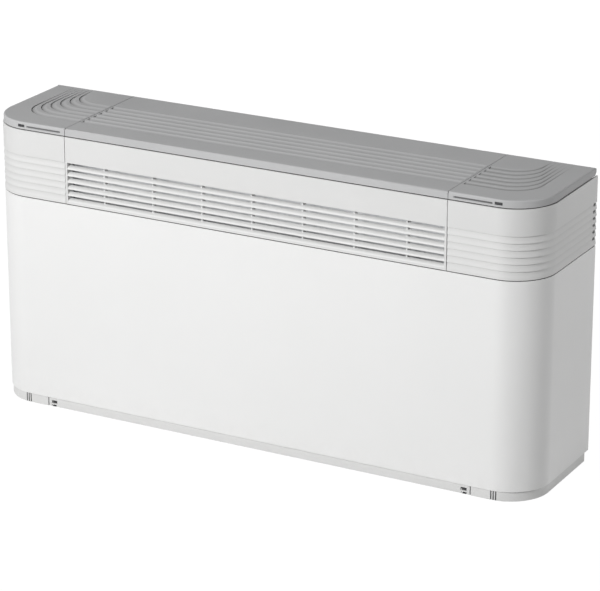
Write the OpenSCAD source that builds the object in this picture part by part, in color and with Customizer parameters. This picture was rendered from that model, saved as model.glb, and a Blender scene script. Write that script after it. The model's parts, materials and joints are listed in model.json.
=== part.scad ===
// Fan coil unit in a cabinet, for the floor or a wall: air goes in through a filter at the bottom,
// two fans push it up through a finned coil, and it leaves at the front and top louvres.
// Millimetres, +Z up, front towards -Y, origin at the middle of the underside.

/* [Cabinet] */
// Overall width
cabinet_w = 980; // [940:1:1060]
// Overall depth from wall to front
cabinet_d = 220; // [216:1:232]
// Overall height
cabinet_h = 486; // [478:1:520]
// Radius of the two front corners in plan
corner_r = 70; // [60:1:76]
// Height of the plinth band
plinth_h = 16; // [15:0.5:20]
// Height of the white head above the steel panel
head_h = 113.5; // [112:0.5:122]
// Width of each end compartment under its lid
end_w = 150; // [144:1:156]

/* [Sheet and walls] */
// Thickness of all sheet metal
sheet_t = 1.2; // [1:0.1:1.5]
// Wall of the white mouldings
wall = 3; // [2.6:0.1:3.4]
// Width of the folded lips of the steel panel
lip_w = 14; // [10:1:18]
// Width of the folds at the rear of the steel panel
return_w = 18; // [12:1:24]
// Height of the shadow joint between panel and head
joint_h = 1.6; // [1:0.1:2]
// Depth of the shadow joint
joint_d = 2.1; // [1.4:0.1:2.2]
// Half of the joint between the middle and end mouldings
seam_gap = 0.5; // [0.35:0.05:0.6]

/* [Head grooves and louvres] */
// Plain band above the topmost groove
band_h = 42.5; // [38:0.5:44]
// Number of grooves, blades and slots
groove_n = 6; // [4:1:6]
// Upright distance from groove to groove
groove_pitch = 11.1; // [10:0.1:11.3]
// Height of the slanted face of a groove
groove_h = 9.9; // [8.5:0.1:9.9]
// Depth of a groove in the end covers
groove_d = 1.6; // [1:0.1:1.8]
// Half length of every louvre slot, short of the seam
slot_margin = 4; // [3:0.5:6]
// Depth that a front blade curves back
blade_d = 8.5; // [7:0.5:10]
// Height from the top of a blade to the edge above it
blade_gap = 5.5; // [4.5:0.1:6]
// Blade thickness
blade_t = 1.6; // [1.2:0.1:2]
// Distance between the ribs behind the blades
rib_pitch = 90; // [80:1:100]
// Ribs on each side of the middle one
rib_n = 3; // [2:1:3]
// Rib thickness
rib_t = 2.5; // [2:0.5:4]
// Distance of the ribs behind the front face
rib_in = 6; // [5:0.5:8]
// Depth of the ribs
rib_d = 10; // [8:1:12]
// Height of a vent slot at the rear of the end covers
vent_h = 5.6; // [4:0.1:6]
// Length of a vent slot
vent_l = 8.3; // [6:0.1:9]
// Distance of the vent slots from the wall
vent_back = 3.2; // [3:0.1:5]

/* [Lids and top] */
// Height of the lid edge
lid_h = 12; // [11:0.5:14]
// Joint between the lid edge and the head
lid_gap = 1.5; // [1.2:0.1:2]
// Distance of the lid edge behind the cabinet faces
lid_in = 1.5; // [1:0.1:2.5]
// Distance of the lid from the wall
lid_back_in = 3; // [2.5:0.1:4]
// Thickness of the grooved lids
lid_t = 4.5; // [4.2:0.1:5]
// Thickness of the middle top grille
top_t = 2.5; // [2.2:0.1:3]
// Wall of the lid edges
lid_wall = 2.5; // [2:0.1:3]
// Rounding of the rear top edge
edge_r = 4; // [3.5:0.1:5]
// Cut at the lower rear corner of a lid
lid_cut = 5; // [4.8:0.1:5.5]
// Distance of the first slot from the front face
slot_first = 45; // [40:1:50]
// Distance from slot to slot, front to back
slot_pitch = 17.7; // [16:0.1:18]
// Width of the sloping part of a slot
ramp_w = 13; // [11:0.1:13.5]
// Depth of the lid grooves
ramp_d = 2.9; // [2:0.1:3]
// Distance of the outermost lid groove from the cabinet side
turn_side = 35; // [30:1:38]
// Distance from groove to groove along the side
turn_pitch = 7.4; // [6.5:0.1:7.6]
// Width of a lid groove along the side
turn_w = 5.2; // [4:0.1:5.4]
// Turning radius of the outermost groove
turn_r = 50; // [44:1:54]
// Change of the turning radius from groove to groove
turn_step = 0.6; // [0:0.1:1.5]
// Distance of the groove ends from the back of the lid
turn_end = 7; // [5:1:12]
// Share of the groove depth that is left at its end
turn_fade = 0.1; // [0.1:0.05:0.5]
// Length of the finger slot in the lid edge
finger_l = 65; // [50:1:68]
// Height of the finger slot
finger_h = 3; // [2:0.1:4]
// Depth of the finger slot
finger_d = 1.8; // [1:0.1:1.9]

/* [Lid hinges] */
// Hinge pin radius
pin_r = 1.5; // [1.3:0.05:1.8]
// Height of the hinge axis under the top
hinge_down = 8; // [8:0.1:8.5]
// Distance of the hinge axis from the wall
hinge_back = 8.5; // [8.5:0.1:9.5]
// Radius of the lid knuckles
knuckle_r = 3.5; // [3.2:0.05:3.5]
// Thickness of the hinge posts
post_t = 6; // [5:0.5:8]
// Length of each lid knuckle
knuckle_l = 20; // [16:1:24]
// Distance of the first hinge post from the seam
post_in = 18; // [14:1:22]
// Length of the hinge from first to last post
hinge_l = 114; // [100:1:116]
// Clearance of a pin in a part that turns on it
turn_fit = 0.05; // [0.03:0.01:0.08]
// Clearance of a pin in the part that holds it
hold_fit = 0.02; // [0.01:0.01:0.03]
// Clearance between parts that move past each other
slide_fit = 0.4; // [0.3:0.05:0.5]
// Clearance under a part at rest on its seat
rest_fit = 0.3; // [0.25:0.05:0.4]

/* [Bay under the lids] */
// Depth of the bay floor under the top
bay_depth = 28.5; // [28:0.5:32]
// Thickness of the bay floor
bay_t = 2.5; // [2:0.1:3]
// Thickness of the wall towards the middle
bay_wall = 2.5; // [2:0.1:3]
// Thickness of the tongue that carries the lid
tongue_t = 2; // [1.6:0.1:2.4]

/* [Plinth and filter] */
// Distance of the plinth behind the cabinet faces
plinth_in = 2; // [1.5:0.1:3]
// Distance of the plinth ends from the wall
plinth_back = 10; // [8:1:14]
// Half width of the filter strip
strip_half = 385.7; // [370:0.1:390]
// Joint between filter strip and plinth corner
strip_gap = 1.6; // [1.2:0.1:2.5]
// Plinth wall
plinth_wall = 3; // [2.5:0.1:4]
// Thickness of the plinth floor
plinth_floor = 2.5; // [2:0.1:2.6]
// Distance of the first upright line from the strip end
line_first = 35.8; // [34:0.1:38]
// Distance from line to line
line_pitch = 4; // [3.6:0.1:4.4]
// Width of an upright line
line_w = 2; // [1.5:0.1:2.4]
// Depth of an upright line
line_d = 1.4; // [1:0.1:1.8]
// Thickness of the filter strip
strip_t = 3; // [2.5:0.1:3.5]
// Clearance of the filter above the floor and under the panel
strip_clear = 0.6; // [0.4:0.1:0.9]
// Width of the filter frame bars
bar_w = 12; // [10:1:14]
// Height of the filter frame bars
bar_h = 7; // [5:0.5:8]
// Depth of the front beam of the filter
beam_d = 8; // [7:0.5:9]
// Distance of the filter frame from the wall
filter_back = 18; // [16:1:30]
// Width of the cross ribs of the filter
cross_w = 4; // [3:0.5:6]
// Thickness of the filter mesh
mesh_t = 0.8; // [0.6:0.1:1]
// Width of the latch window
latch_w = 10.5; // [9:0.5:12]
// Height of the latch window
latch_h = 5.5; // [5:0.1:6]
// Distance of the latch window from the strip end
latch_in = 5.2; // [4.5:0.1:6]
// Travel of a filter latch
latch_travel = 2; // [1.5:0.1:2.2]

/* [Chassis] */
// Distance of the side plates outside the seam
plate_out = 5; // [4.5:0.1:7]
// Distance of the side plates behind the front
plate_front = 18; // [17:0.5:22]
// Width of the folded flange on the side plates
plate_flange = 12; // [8:1:14]
// Height of the rear panel and side plates above the plinth
plate_lift = 2; // [1.5:0.1:4]
// Width of the fold along the top of the rear panel
top_flange = 22; // [18:1:26]
// Height of a cross rail
rail_h = 22; // [18:1:30]
// Distance of the lower rail above the plinth
rail_low = 24; // [20:1:30]
// Distance of the upper rail under the panel top
rail_high = 7; // [5:1:12]
// Distance of the wall slots from the sides of the rear panel
slot_edge = 45; // [36:1:60]
// Height of the lower wall slots
slot_low = 84; // [78:1:95]
// Distance of the upper wall slots under the rear panel's top
slot_top = 42; // [36:1:50]
// Radius of a wall slot, for an 8 mm screw
slot_r = 4.5; // [4:0.1:5]
// Length of a wall slot
slot_l = 20; // [16:1:24]
// Distance of the fan deck under the panel top
deck_down = 173; // [172:1:176]

/* [Fans] */
// Impeller radius
fan_r = 65; // [62:0.5:66]
// Inner radius of the impeller blades
fan_in = 54; // [52:0.5:55]
// Impeller length
fan_l = 170; // [150:1:176]
// Blades on an impeller
blade_n = 28; // [20:1:32]
// Distance of the fan axis in front of the middle
fan_front = 8; // [6:0.5:9]
// Distance of the fan axis under the deck
fan_down = 78; // [77:0.5:80]
// Distance of a fan from the middle of the unit
fan_x = 160; // [155:1:170]
// Width of a fan housing
housing_w = 200; // [190:1:204]
// Wall of a fan housing
housing_t = 2; // [1.6:0.1:2.4]
// Gap between impeller and housing at its tightest
scroll_gap = 6; // [5:0.5:6.5]
// Growth of the housing radius round the turn
scroll_grow = 24; // [20:1:24]
// Radius of the housing inlets
inlet_r = 51; // [48:1:52]
// Motor radius
motor_r = 45; // [40:0.5:46]
// Motor length
motor_l = 84; // [70:1:86]
// Shaft radius
shaft_r = 6; // [5:0.1:6.5]
// Thickness of the rubber rings round the motor
ring_t = 4; // [3:0.5:5]
// Width of a rubber ring
ring_w = 9; // [7:0.5:10]
// Clearance of the rubber rings round the motor
ring_fit = 0.1; // [0.05:0.05:0.15]
// Thickness of the clamps round the rubber rings
clamp_t = 4; // [3:0.5:5]

/* [Coil and tray] */
// Height of the coil along its slope
coil_h = 200; // [190:1:204]
// Thickness of the coil
coil_t = 40; // [36:1:42]
// Tilt of the coil from upright
coil_tilt = 30; // [28:1:31]
// Distance of the coil middle under the panel top
coil_down = 57; // [56:1:60]
// Distance of the coil middle behind the middle of the unit
coil_back = 8; // [6:1:10]
// Distance of the fins from the side plates
coil_in = 26; // [25:0.5:30]
// Number of fins, wider apart than real ones
fin_n = 40; // [20:1:60]
// Fin thickness
fin_t = 0.8; // [0.6:0.1:1]
// Tube rows along the slope
row_n = 6; // [4:2:6]
// Distance from tube row to tube row
row_pitch = 32; // [30:0.5:32]
// Distance of the two tube layers from the coil middle
layer_off = 10; // [9.8:0.1:11]
// Tube radius
tube_r = 4.9; // [4.5:0.1:5]
// Clearance of the tubes in the fins
tube_fit = 0.1; // [0.05:0.05:0.15]
// Radius of the collecting pipes
header_r = 8; // [7:0.1:8.5]
// Radius of the socket bores, half inch pipe thread
socket_r = 9.5; // [9.3:0.05:9.6]
// Outer radius of the sockets over the corners
socket_out = 15; // [14:0.5:16]
// Length of a socket
socket_l = 30; // [26:1:34]
// Thread depth in a socket
thread_l = 16; // [12:1:17]
// Width of the drip tray, front to back
tray_w = 84; // [76:1:86]
// Height of the drip tray
tray_h = 15; // [15:0.5:16]
// Wall of the drip tray
tray_t = 2; // [1.5:0.1:2.5]
// Radius of the drain spigot, for a 14 mm hose
spigot_r = 7; // [6.5:0.1:7]
// Length of the drain spigot outside the side plate
spigot_l = 40; // [30:1:50]
// Length of its thicker root outside the side plate, the stop for the hose
root_l = 2; // [1.5:0.1:4]

/* [Diverter] */
// Distance of the diverter axis behind the front
vane_back = 32; // [31:0.5:34]
// Distance of the diverter axis under the top
vane_down = 40; // [40:0.5:42]
// Length of the diverter vane
vane_l = 90; // [80:1:92]
// Thickness of the vane
vane_t = 2; // [1.6:0.1:2.4]
// Radius of the diverter shaft
vane_r = 4; // [3.5:0.1:4.2]
// Lever length from the axis
lever_l = 24; // [22:0.5:24]
// Lever width
lever_w = 6; // [5:0.5:7]
// Lever thickness
lever_t = 5; // [4:0.5:6]
// Distance of the lever from the side plate
lever_out = 6; // [5:0.5:7]
// Half of the lever swing
lever_half = 40; // [36:1:40]

/* [Controls] */
// Length of the control plate
control_l = 96; // [92:1:100]
// Depth of the control plate
control_d = 60; // [50:1:64]
// Thickness of the control plate
control_t = 3; // [2.5:0.1:3.5]
// Knob radius
knob_r = 14; // [12:0.5:15]
// Knob height
knob_h = 8.5; // [7:0.5:9]
// Radius of a knob stem
stem_r = 3; // [2.5:0.1:3.5]
// Distance between the two knobs
knob_gap = 46; // [42:1:48]
// Length of the terminal box, front to back
box_d = 90; // [80:1:100]
// Width of the terminal box
box_w = 72; // [60:1:76]
// Height of the terminal box
box_h = 110; // [90:1:120]
// Wall of the terminal box
box_t = 2.5; // [2:0.1:3]
// Bore radius of the cable gland
gland_r = 5; // [4:0.1:6]
// Screw shank radius
screw_r = 2; // [1.6:0.1:2.2]
// Screw head height
screw_head = 2.2; // [1.8:0.1:2.6]
// Screw length under its head
screw_l = 8; // [6:0.5:10]
// Distance of the cover screws from the side plates
screw_out = 24; // [20:1:26]

/* [Hidden] */
$fn = 64;

// Main planes
half_w = cabinet_w / 2;
front_y = -cabinet_d / 2;
back_y = cabinet_d / 2;
seam_x = half_w - end_w;
lid_bottom = cabinet_h - lid_h;
head_top = lid_bottom - lid_gap;
panel_top = head_top - head_h;
head_bottom = panel_top + joint_h;
lid_under = cabinet_h - lid_t;
top_under = cabinet_h - top_t;
lid_front = front_y + lid_in;
lid_back = back_y - lid_back_in;

// Head
groove_top = head_top - band_h;
window_bottom = groove_top - groove_n * groove_pitch;
slot_half = seam_x - slot_margin;
tongue_out = lid_in + lid_wall + slide_fit;
web_t = 2;
web_z = head_top - 4.5;
bay_top = cabinet_h - bay_depth;
bay_under = bay_top - bay_t;
hinge_y = back_y - hinge_back;
hinge_z = cabinet_h - hinge_down;
post_x = seam_x + post_in;
post_r = lid_under - rest_fit - hinge_z;

// Chassis
plate_x = seam_x + plate_out;
plate_in = plate_x - sheet_t;
rail_y = back_y - 2 * sheet_t;
deck_z = panel_top - deck_down;
fan_y = -fan_front;
fan_z = deck_z - fan_down;
scroll_min = fan_r + scroll_gap;
scroll_max = scroll_min + scroll_grow;
scroll_start = 75;
throat_y = fan_y + scroll_min * cos(scroll_start);
throat_end = fan_y + scroll_max;
housing_in = fan_x - housing_w / 2;
clamp_r = motor_r + ring_t;
ring_x = motor_l / 2 - ring_w - 2;

// Coil
coil_y = coil_back;
coil_z = panel_top - coil_down;
fin_half = plate_in - coil_in;
end_t = 1.5;
fin_step = (2 * fin_half - fin_t) / (fin_n - 1);
row_first = -(row_n - 1) * row_pitch / 2;
stub_off = -row_first;
header_x = fin_half + end_t + header_r + 2;
tray_z = deck_z + sheet_t;
tray_front = front_y + plate_front + 4;
spigot_y = tray_front + 24;
spigot_z = tray_z + spigot_r + 1;
root_r = spigot_r + 0.8;
socket_x = plate_x + 6;

// Diverter and controls
vane_y = front_y + vane_back;
vane_z = cabinet_h - vane_down;
lever_x = plate_x + lever_out;
control_x = half_w - wall - 10 - control_l;
control_y = -30;
knob_x = control_x + control_l / 2 + 4;
knob_y = control_y + control_d / 2;
knob_z = bay_top + control_t + rest_fit;
box_y = -30;
box_z = 210;
screw_y = cabinet_d / 4;

// Filter and plinth
strip_front = front_y + plinth_in;
strip_back = strip_front + strip_t;
beam_back = strip_back + beam_d;
plinth_x = strip_half + strip_gap;
bar_z = plinth_floor + rest_fit;
bar_out = strip_half - 1.7;
filter_end = back_y - filter_back;
latch_x = strip_half - latch_in - latch_w;
beam_half = latch_x - 4;
latch_z = 5.5;

// Colours of the preview
white = [0.93, 0.93, 0.91];
grey = [0.62, 0.63, 0.64];
zinc = [0.72, 0.74, 0.76];
dark = [0.18, 0.18, 0.2];
copper = [0.72, 0.45, 0.3];
brass = [0.78, 0.66, 0.36];

function groove_z(k) = groove_top - k * groove_pitch;
function slot_y(k) = front_y + slot_first + k * slot_pitch;

// Plan of the cabinet, set in at front and sides and cut off at a given depth
module plan(inset, end_y) {
    w = half_w - inset;
    f = front_y + inset;
    r = corner_r - inset;
    translate([-w, f + r])
        square([2 * w, end_y - f - r]);
    translate([r - w, f])
        square([2 * (w - r), r + 1]);
    for (s = [-1, 1])
        translate([s * (w - r), f + r])
            circle(r);
}

// Right-hand part of a plan, from a given x outwards
module plan_end(inset, end_y, from_x) {
    intersection() {
        plan(inset, end_y);
        translate([from_x, front_y - 1])
            square([half_w, cabinet_d + 2]);
    }
}

// Extrudes a shape drawn in Y and Z along X
module along_x(x0, length) {
    translate([x0, 0, 0])
        rotate([90, 0, 90])
            linear_extrude(length)
                children();
}

// Round bar along X
module bar_x(x0, length, r, y, z) {
    translate([x0, y, z])
        rotate([0, 90, 0])
            cylinder(h = length, r = r);
}

// Moves what is drawn upright into the sloping frame of the coil
module coil_frame() {
    translate([0, coil_y, coil_z])
        rotate([-coil_tilt, 0, 0])
            children();
}

// Section of the head: distance outwards from the cabinet face, and height
function head_section(grooved, tongue_z) = concat(
    [[-wall, panel_top], [-joint_d, panel_top], [-joint_d, head_bottom], [0, head_bottom]],
    grooved ? [for (k = [groove_n - 1:-1:0]) each [
        [0, groove_z(k) - groove_h],
        [-groove_d, groove_z(k)],
        [0, groove_z(k)]]] : [],
    [[0, head_top], [-wall, head_top], [-wall, web_z], [-tongue_out, web_z],
        [-tongue_out, tongue_z], [-tongue_out - tongue_t, tongue_z],
        [-tongue_out - tongue_t, web_z - web_t], [-wall, web_z - web_t]]);

function facing_front(section) = [for (q = section) [front_y - q[0], q[1]]];

// Steel sheet folded round the front and both sides
module front_panel() color(white) {
    translate([0, 0, plinth_h])
        linear_extrude(panel_top - plinth_h)
            difference() {
                plan(0, back_y);
                plan(sheet_t, back_y + 1);
            }
    for (z = [plinth_h, panel_top - sheet_t])
        translate([0, 0, z])
            linear_extrude(sheet_t)
                difference() {
                    plan(0, back_y);
                    plan(lip_w, back_y + 1);
                }
    for (x = [-half_w, half_w - return_w])
        translate([x, back_y - sheet_t, plinth_h])
            cube([return_w, sheet_t, panel_top - plinth_h]);
}

// Wall of an end cover: one section along the front, round the corner and along the side
module end_wall() {
    section = head_section(true, lid_under - rest_fit);
    start = seam_x + seam_gap;
    along_x(start, half_w - corner_r - start)
        polygon(facing_front(section));
    translate([half_w - corner_r, front_y + corner_r, 0])
        rotate([0, 0, -90])
            rotate_extrude(angle = 90)
                translate([corner_r, 0])
                    polygon(section);
    translate([half_w, back_y, 0])
        rotate([90, 0, 0])
            linear_extrude(cabinet_d - corner_r)
                polygon(section);
}

// Right-hand end cover, without the slot for the lever
module end_cover() {
    difference() {
        union() {
            end_wall();
            translate([0, 0, bay_under])
                linear_extrude(bay_t)
                    plan_end(wall / 2, back_y - wall, seam_x + seam_gap);
            translate([seam_x + seam_gap, front_y + tongue_out + tongue_t / 2, bay_under])
                cube([bay_wall, hinge_y - 6 - front_y - tongue_out, lid_under - rest_fit - bay_under]);
            for (x = [post_x, post_x + hinge_l - post_t]) {
                bar_x(x, post_t, post_r, hinge_y, hinge_z);
                translate([x, hinge_y - post_r, bay_under])
                    cube([post_t, 2 * post_r, hinge_z - bay_under]);
            }
            translate([half_w - wall - 9, back_y - wall, head_bottom])
                cube([10, wall, bay_top - head_bottom]);
        }
        // room for the lid behind its hinge axis
        translate([half_w - 12, hinge_y - 6, web_z])
            cube([12 - wall, 20, 20]);
        bar_x(post_x - 1, hinge_l + 2, pin_r + hold_fit, hinge_y, hinge_z);
        for (k = [0:groove_n - 1])
            translate([half_w - wall - 1, back_y - vent_back - vent_l, groove_z(k) - vent_h + 0.6])
                cube([wall + 2, vent_l, vent_h]);
        for (y = [-1, 1])
            translate([plate_x + screw_out, y * screw_y, bay_under - 1])
                cylinder(h = bay_t + 2, r = screw_r + hold_fit);
    }
}

module right_end_cover() color(white) {
    difference() {
        end_cover();
        translate([lever_x - 1, vane_y - 15, bay_under - 1])
            cube([lever_t + 2, 30, bay_t + 2]);
    }
}

module left_end_cover() color(white) {
    mirror([1, 0, 0])
        end_cover();
}

// One front blade, drawn in Y and Z: upright at the front face, then curved back until it lies flat
module blade(k) {
    low = groove_z(k) - groove_pitch;
    rise = groove_pitch - blade_gap;
    polygon(facing_front(concat(
        [for (a = [0:15:90]) [blade_d * (cos(a) - 1), low + rise * sin(a)]],
        [for (a = [90:-15:0]) [(blade_d - blade_t) * cos(a) - blade_d, low + (rise - blade_t) * sin(a)]])));
}

module front_grille() color(white) {
    end_x = seam_x - seam_gap;
    difference() {
        along_x(-end_x, 2 * end_x)
            polygon(facing_front(head_section(false, top_under)));
        translate([-slot_half, front_y - 1, window_bottom])
            cube([2 * slot_half, wall + 2, groove_top - window_bottom]);
    }
    for (k = [0:groove_n - 1])
        along_x(-slot_half - 1, 2 * slot_half + 2)
            blade(k);
    for (x = [-end_x, slot_half])
        translate([x, front_y + wall / 2, window_bottom - 2])
            cube([end_x - slot_half, rib_in + rib_d - wall / 2, groove_top - window_bottom + 5]);
    for (i = [-rib_n:rib_n])
        translate([i * rib_pitch - rib_t / 2, front_y + rib_in, window_bottom - 2])
            cube([rib_t, rib_d, groove_top - window_bottom + 5]);
}

// Quarter-round cutter for the rear top edge
module edge_cut(x0, length) {
    difference() {
        translate([x0, lid_back - edge_r, cabinet_h - edge_r])
            cube([length, edge_r + 1, edge_r + 1]);
        bar_x(x0 - 1, length + 2, edge_r, lid_back - edge_r, cabinet_h - edge_r);
    }
}

// One scoop of the top grille, drawn in Y and Z: a ramp in sight and a lip down into the unit
module scoop(k) {
    y = slot_y(k);
    polygon([[y + ramp_w, cabinet_h], [y + ramp_w * 0.35, cabinet_h - lid_h * 0.22],
        [y + ramp_w * 0.12, cabinet_h - lid_h * 0.67], [y + ramp_w * 0.23, cabinet_h - lid_h * 0.72],
        [y + ramp_w * 0.46, cabinet_h - lid_h * 0.37], [y + ramp_w * 1.04, cabinet_h - top_t]]);
}

module top_grille() color(grey) {
    end_x = seam_x - seam_gap;
    last = slot_y(groove_n - 1) + ramp_w + 2;
    difference() {
        union() {
            translate([-end_x, lid_front, top_under])
                cube([2 * end_x, lid_back - lid_front, top_t]);
            for (y = [lid_front, lid_back - lid_wall])
                translate([-end_x, y, lid_bottom])
                    cube([2 * end_x, lid_wall, lid_h]);
        }
        for (k = [0:groove_n - 1])
            translate([-slot_half, slot_y(k), lid_bottom])
                cube([2 * slot_half, ramp_w, lid_h + 1]);
        edge_cut(-end_x - 1, 2 * end_x + 2);
    }
    for (k = [0:groove_n - 1])
        along_x(-slot_half - 1, 2 * slot_half + 2)
            scoop(k);
    for (x = [-end_x, slot_half])
        translate([x, slot_y(0) - 3, lid_bottom])
            cube([end_x - slot_half, last - slot_y(0) + 3, lid_h - 1]);
    for (i = [-rib_n:rib_n])
        translate([i * rib_pitch - rib_t / 2, slot_y(0) - 3, lid_bottom])
            cube([rib_t, last - slot_y(0) + 3, 4.5]);
}

// Line of a groove edge in plan: along the front, round a quarter turn and along the side
rail_n = 9;
function groove_rail(x0, x1, y0, y1, r) = concat([[x0, y0]],
    [for (i = [0:rail_n]) let (a = 90 * i / rail_n - 90) [x1 - r + r * cos(a), y0 + r + r * sin(a)]],
    [[x1, y1]]);

// Depth at step j of a lid groove: full along the front, half after the turn, faint at the end
function groove_depth(j) = ramp_d * (j <= 1 ? 1 : j > rail_n + 1 ? turn_fade : 1 - (j - 1) / rail_n / 2);

// Cutter of one lid groove: a wall that drops at the outer line and a ramp up to the inner line
module lid_groove(k) {
    start = seam_x + slot_margin;
    side = half_w - turn_side - k * turn_pitch;
    r = turn_r - k * turn_step;
    outer = groove_rail(start, side, slot_y(k), lid_back - turn_end, r);
    inner = groove_rail(start, side - turn_w, slot_y(k) + ramp_w, lid_back - turn_end, r - 6);
    n = len(outer);
    points = [for (j = [0:n - 1]) each [
        [outer[j][0], outer[j][1], cabinet_h + 1],
        [outer[j][0], outer[j][1], cabinet_h - groove_depth(j)],
        [inner[j][0], inner[j][1], cabinet_h],
        [inner[j][0], inner[j][1], cabinet_h + 1]]];
    sides = [for (j = [0:n - 2]) for (e = [0:3]) let (a = 4 * j + e, b = 4 * j + (e + 1) % 4) each [
        [b, a, a + 4],
        [b, a + 4, b + 4]]];
    ends = [[0, 1, 2], [0, 2, 3], [4 * n - 2, 4 * n - 3, 4 * n - 4], [4 * n - 1, 4 * n - 2, 4 * n - 4]];
    polyhedron(points, concat(sides, ends));
}

// Right-hand lid, closed
module lid() {
    start = seam_x + seam_gap;
    finger_x = start + 8;
    finger_z = cabinet_h - lid_h * 0.6;
    knuckle_x = [post_x + post_t + slide_fit, post_x + hinge_l - post_t - slide_fit - knuckle_l];
    difference() {
        union() {
            translate([0, 0, lid_under])
                linear_extrude(lid_t)
                    plan_end(lid_in, lid_back, start);
            translate([0, 0, lid_bottom])
                linear_extrude(lid_h - 1)
                    intersection() {
                        difference() {
                            plan(lid_in, lid_back);
                            plan(lid_in + lid_wall, lid_back + 1);
                        }
                        translate([start, front_y])
                            square([end_w, cabinet_d]);
                    }
            for (x = knuckle_x) {
                bar_x(x, knuckle_l, knuckle_r, hinge_y, hinge_z);
                translate([x, hinge_y - knuckle_r, hinge_z])
                    cube([knuckle_l, 2 * knuckle_r, lid_under + 1 - hinge_z]);
            }
        }
        edge_cut(start - 1, end_w + 2);
        along_x(start - 1, end_w + 2)
            polygon([[lid_back - lid_cut - 1, lid_bottom - 1], [lid_back + 1, lid_bottom - 1],
                [lid_back + 1, lid_bottom + lid_cut + 1]]);
        bar_x(post_x, hinge_l, pin_r + turn_fit, hinge_y, hinge_z);
        translate([finger_x + finger_h / 2, lid_front - 1, finger_z])
            rotate([-90, 0, 0])
                linear_extrude(finger_d + 1) {
                    translate([0, -finger_h / 2])
                        square([finger_l - finger_h, finger_h]);
                    for (x = [0, finger_l - finger_h])
                        translate([x, 0])
                            circle(finger_h / 2);
                }
        for (k = [0:groove_n - 1])
            lid_groove(k);
    }
}

module right_lid() color(grey) lid();

module left_lid() color(grey) {
    mirror([1, 0, 0])
        lid();
}

module right_hinge_pin() color(zinc) {
    bar_x(post_x, hinge_l, pin_r, hinge_y, hinge_z);
}

module left_hinge_pin() color(zinc) {
    mirror([1, 0, 0])
        bar_x(post_x, hinge_l, pin_r, hinge_y, hinge_z);
}

// Right-hand corner of the plinth, with the floor that carries the filter
module plinth_corner() {
    end_y = back_y - plinth_back;
    ledge_x = bar_out - bar_w * 0.7;
    difference() {
        union() {
            linear_extrude(plinth_h)
                difference() {
                    plan_end(plinth_in, end_y, plinth_x);
                    plan(plinth_in + plinth_wall, end_y - plinth_wall);
                }
            linear_extrude(plinth_floor)
                difference() {
                    plan_end(plinth_in, end_y, ledge_x);
                    plan(plinth_in + plinth_wall + 14, end_y - plinth_wall - 14);
                }
            translate([ledge_x, beam_back + 2, 0])
                cube([plinth_x + 14 - ledge_x, end_y - beam_back - 4, plinth_floor]);
        }
        // room for the filter strip and its latch
        translate([ledge_x - 1, front_y, -1])
            cube([plinth_x + 1 - ledge_x, beam_back - slide_fit - front_y, plinth_h + 2]);
        // the rear wall is kept clear of the sliding filter
        translate([ledge_x - 1, end_y - plinth_wall - 1, plinth_floor])
            cube([bar_w + 8, plinth_wall + 2, plinth_h]);
        for (i = [0:2])
            translate([strip_half + line_first + i * line_pitch - line_w / 2, front_y, -1])
                cube([line_w, plinth_in + line_d, plinth_h + 2]);
    }
}

module right_plinth() color(white) plinth_corner();

module left_plinth() color(white) {
    mirror([1, 0, 0])
        plinth_corner();
}

module filter_frame() color(white) {
    strip_top = plinth_h - strip_clear;
    bar_in = bar_out - bar_w;
    difference() {
        translate([-strip_half, strip_front, strip_clear])
            cube([2 * strip_half, strip_t, strip_top - strip_clear]);
        for (s = [0, 1])
            mirror([s, 0, 0]) {
                translate([latch_x, strip_front - 1, latch_z])
                    cube([latch_w, strip_t + 2, latch_h]);
                translate([latch_x + 1.5, strip_front - 1, 0])
                    cube([latch_w - 1.5, strip_t + 2, 1.6 + latch_travel]);
            }
    }
    translate([-beam_half, strip_back - 0.5, bar_z])
        cube([2 * beam_half, beam_d + 1, bar_h]);
    difference() {
        translate([-bar_out, beam_back, bar_z])
            cube([2 * bar_out, filter_end - beam_back, bar_h]);
        translate([-bar_in, beam_back + bar_w, bar_z - 1])
            cube([2 * bar_in, filter_end - beam_back - 2 * bar_w, bar_h + 2]);
    }
    for (i = [-2:2])
        translate([i * bar_in / 3 - cross_w / 2, beam_back + 1, bar_z])
            cube([cross_w, filter_end - beam_back - 2, bar_h / 2 - mesh_t / 2]);
}

module filter_mesh() color(dark) {
    bar_in = bar_out - bar_w;
    translate([-bar_in, beam_back + bar_w, bar_z + bar_h / 2 - mesh_t / 2])
        cube([2 * bar_in, filter_end - beam_back - 2 * bar_w, mesh_t]);
}

// Right-hand filter latch: a tongue behind the window and a tab under the strip
module latch() {
    translate([latch_x + 0.8, strip_back + rest_fit, bar_z])
        cube([latch_w - 1.6, beam_d - 2 * rest_fit, latch_z + 2.6 - bar_z]);
    translate([latch_x + 2.5, strip_front + 0.3, 0.5])
        cube([latch_w - 3.5, strip_t + rest_fit + 1, 0.8]);
    translate([latch_x + 2.5, strip_back + rest_fit, 0.5])
        cube([latch_w - 3.5, 1.6, bar_z]);
}

module right_latch() color(white) latch();

module left_latch() color(white) {
    mirror([1, 0, 0])
        latch();
}

// Long hole through the rear panel
module wall_slot(x, z) {
    translate([x, back_y + 1, z])
        rotate([90, 0, 0])
            linear_extrude(sheet_t + 2) {
                translate([slot_r - slot_l / 2, -slot_r])
                    square([slot_l - 2 * slot_r, 2 * slot_r]);
                for (s = [-1, 1])
                    translate([s * (slot_l / 2 - slot_r), 0])
                        circle(slot_r);
            }
}

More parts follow.
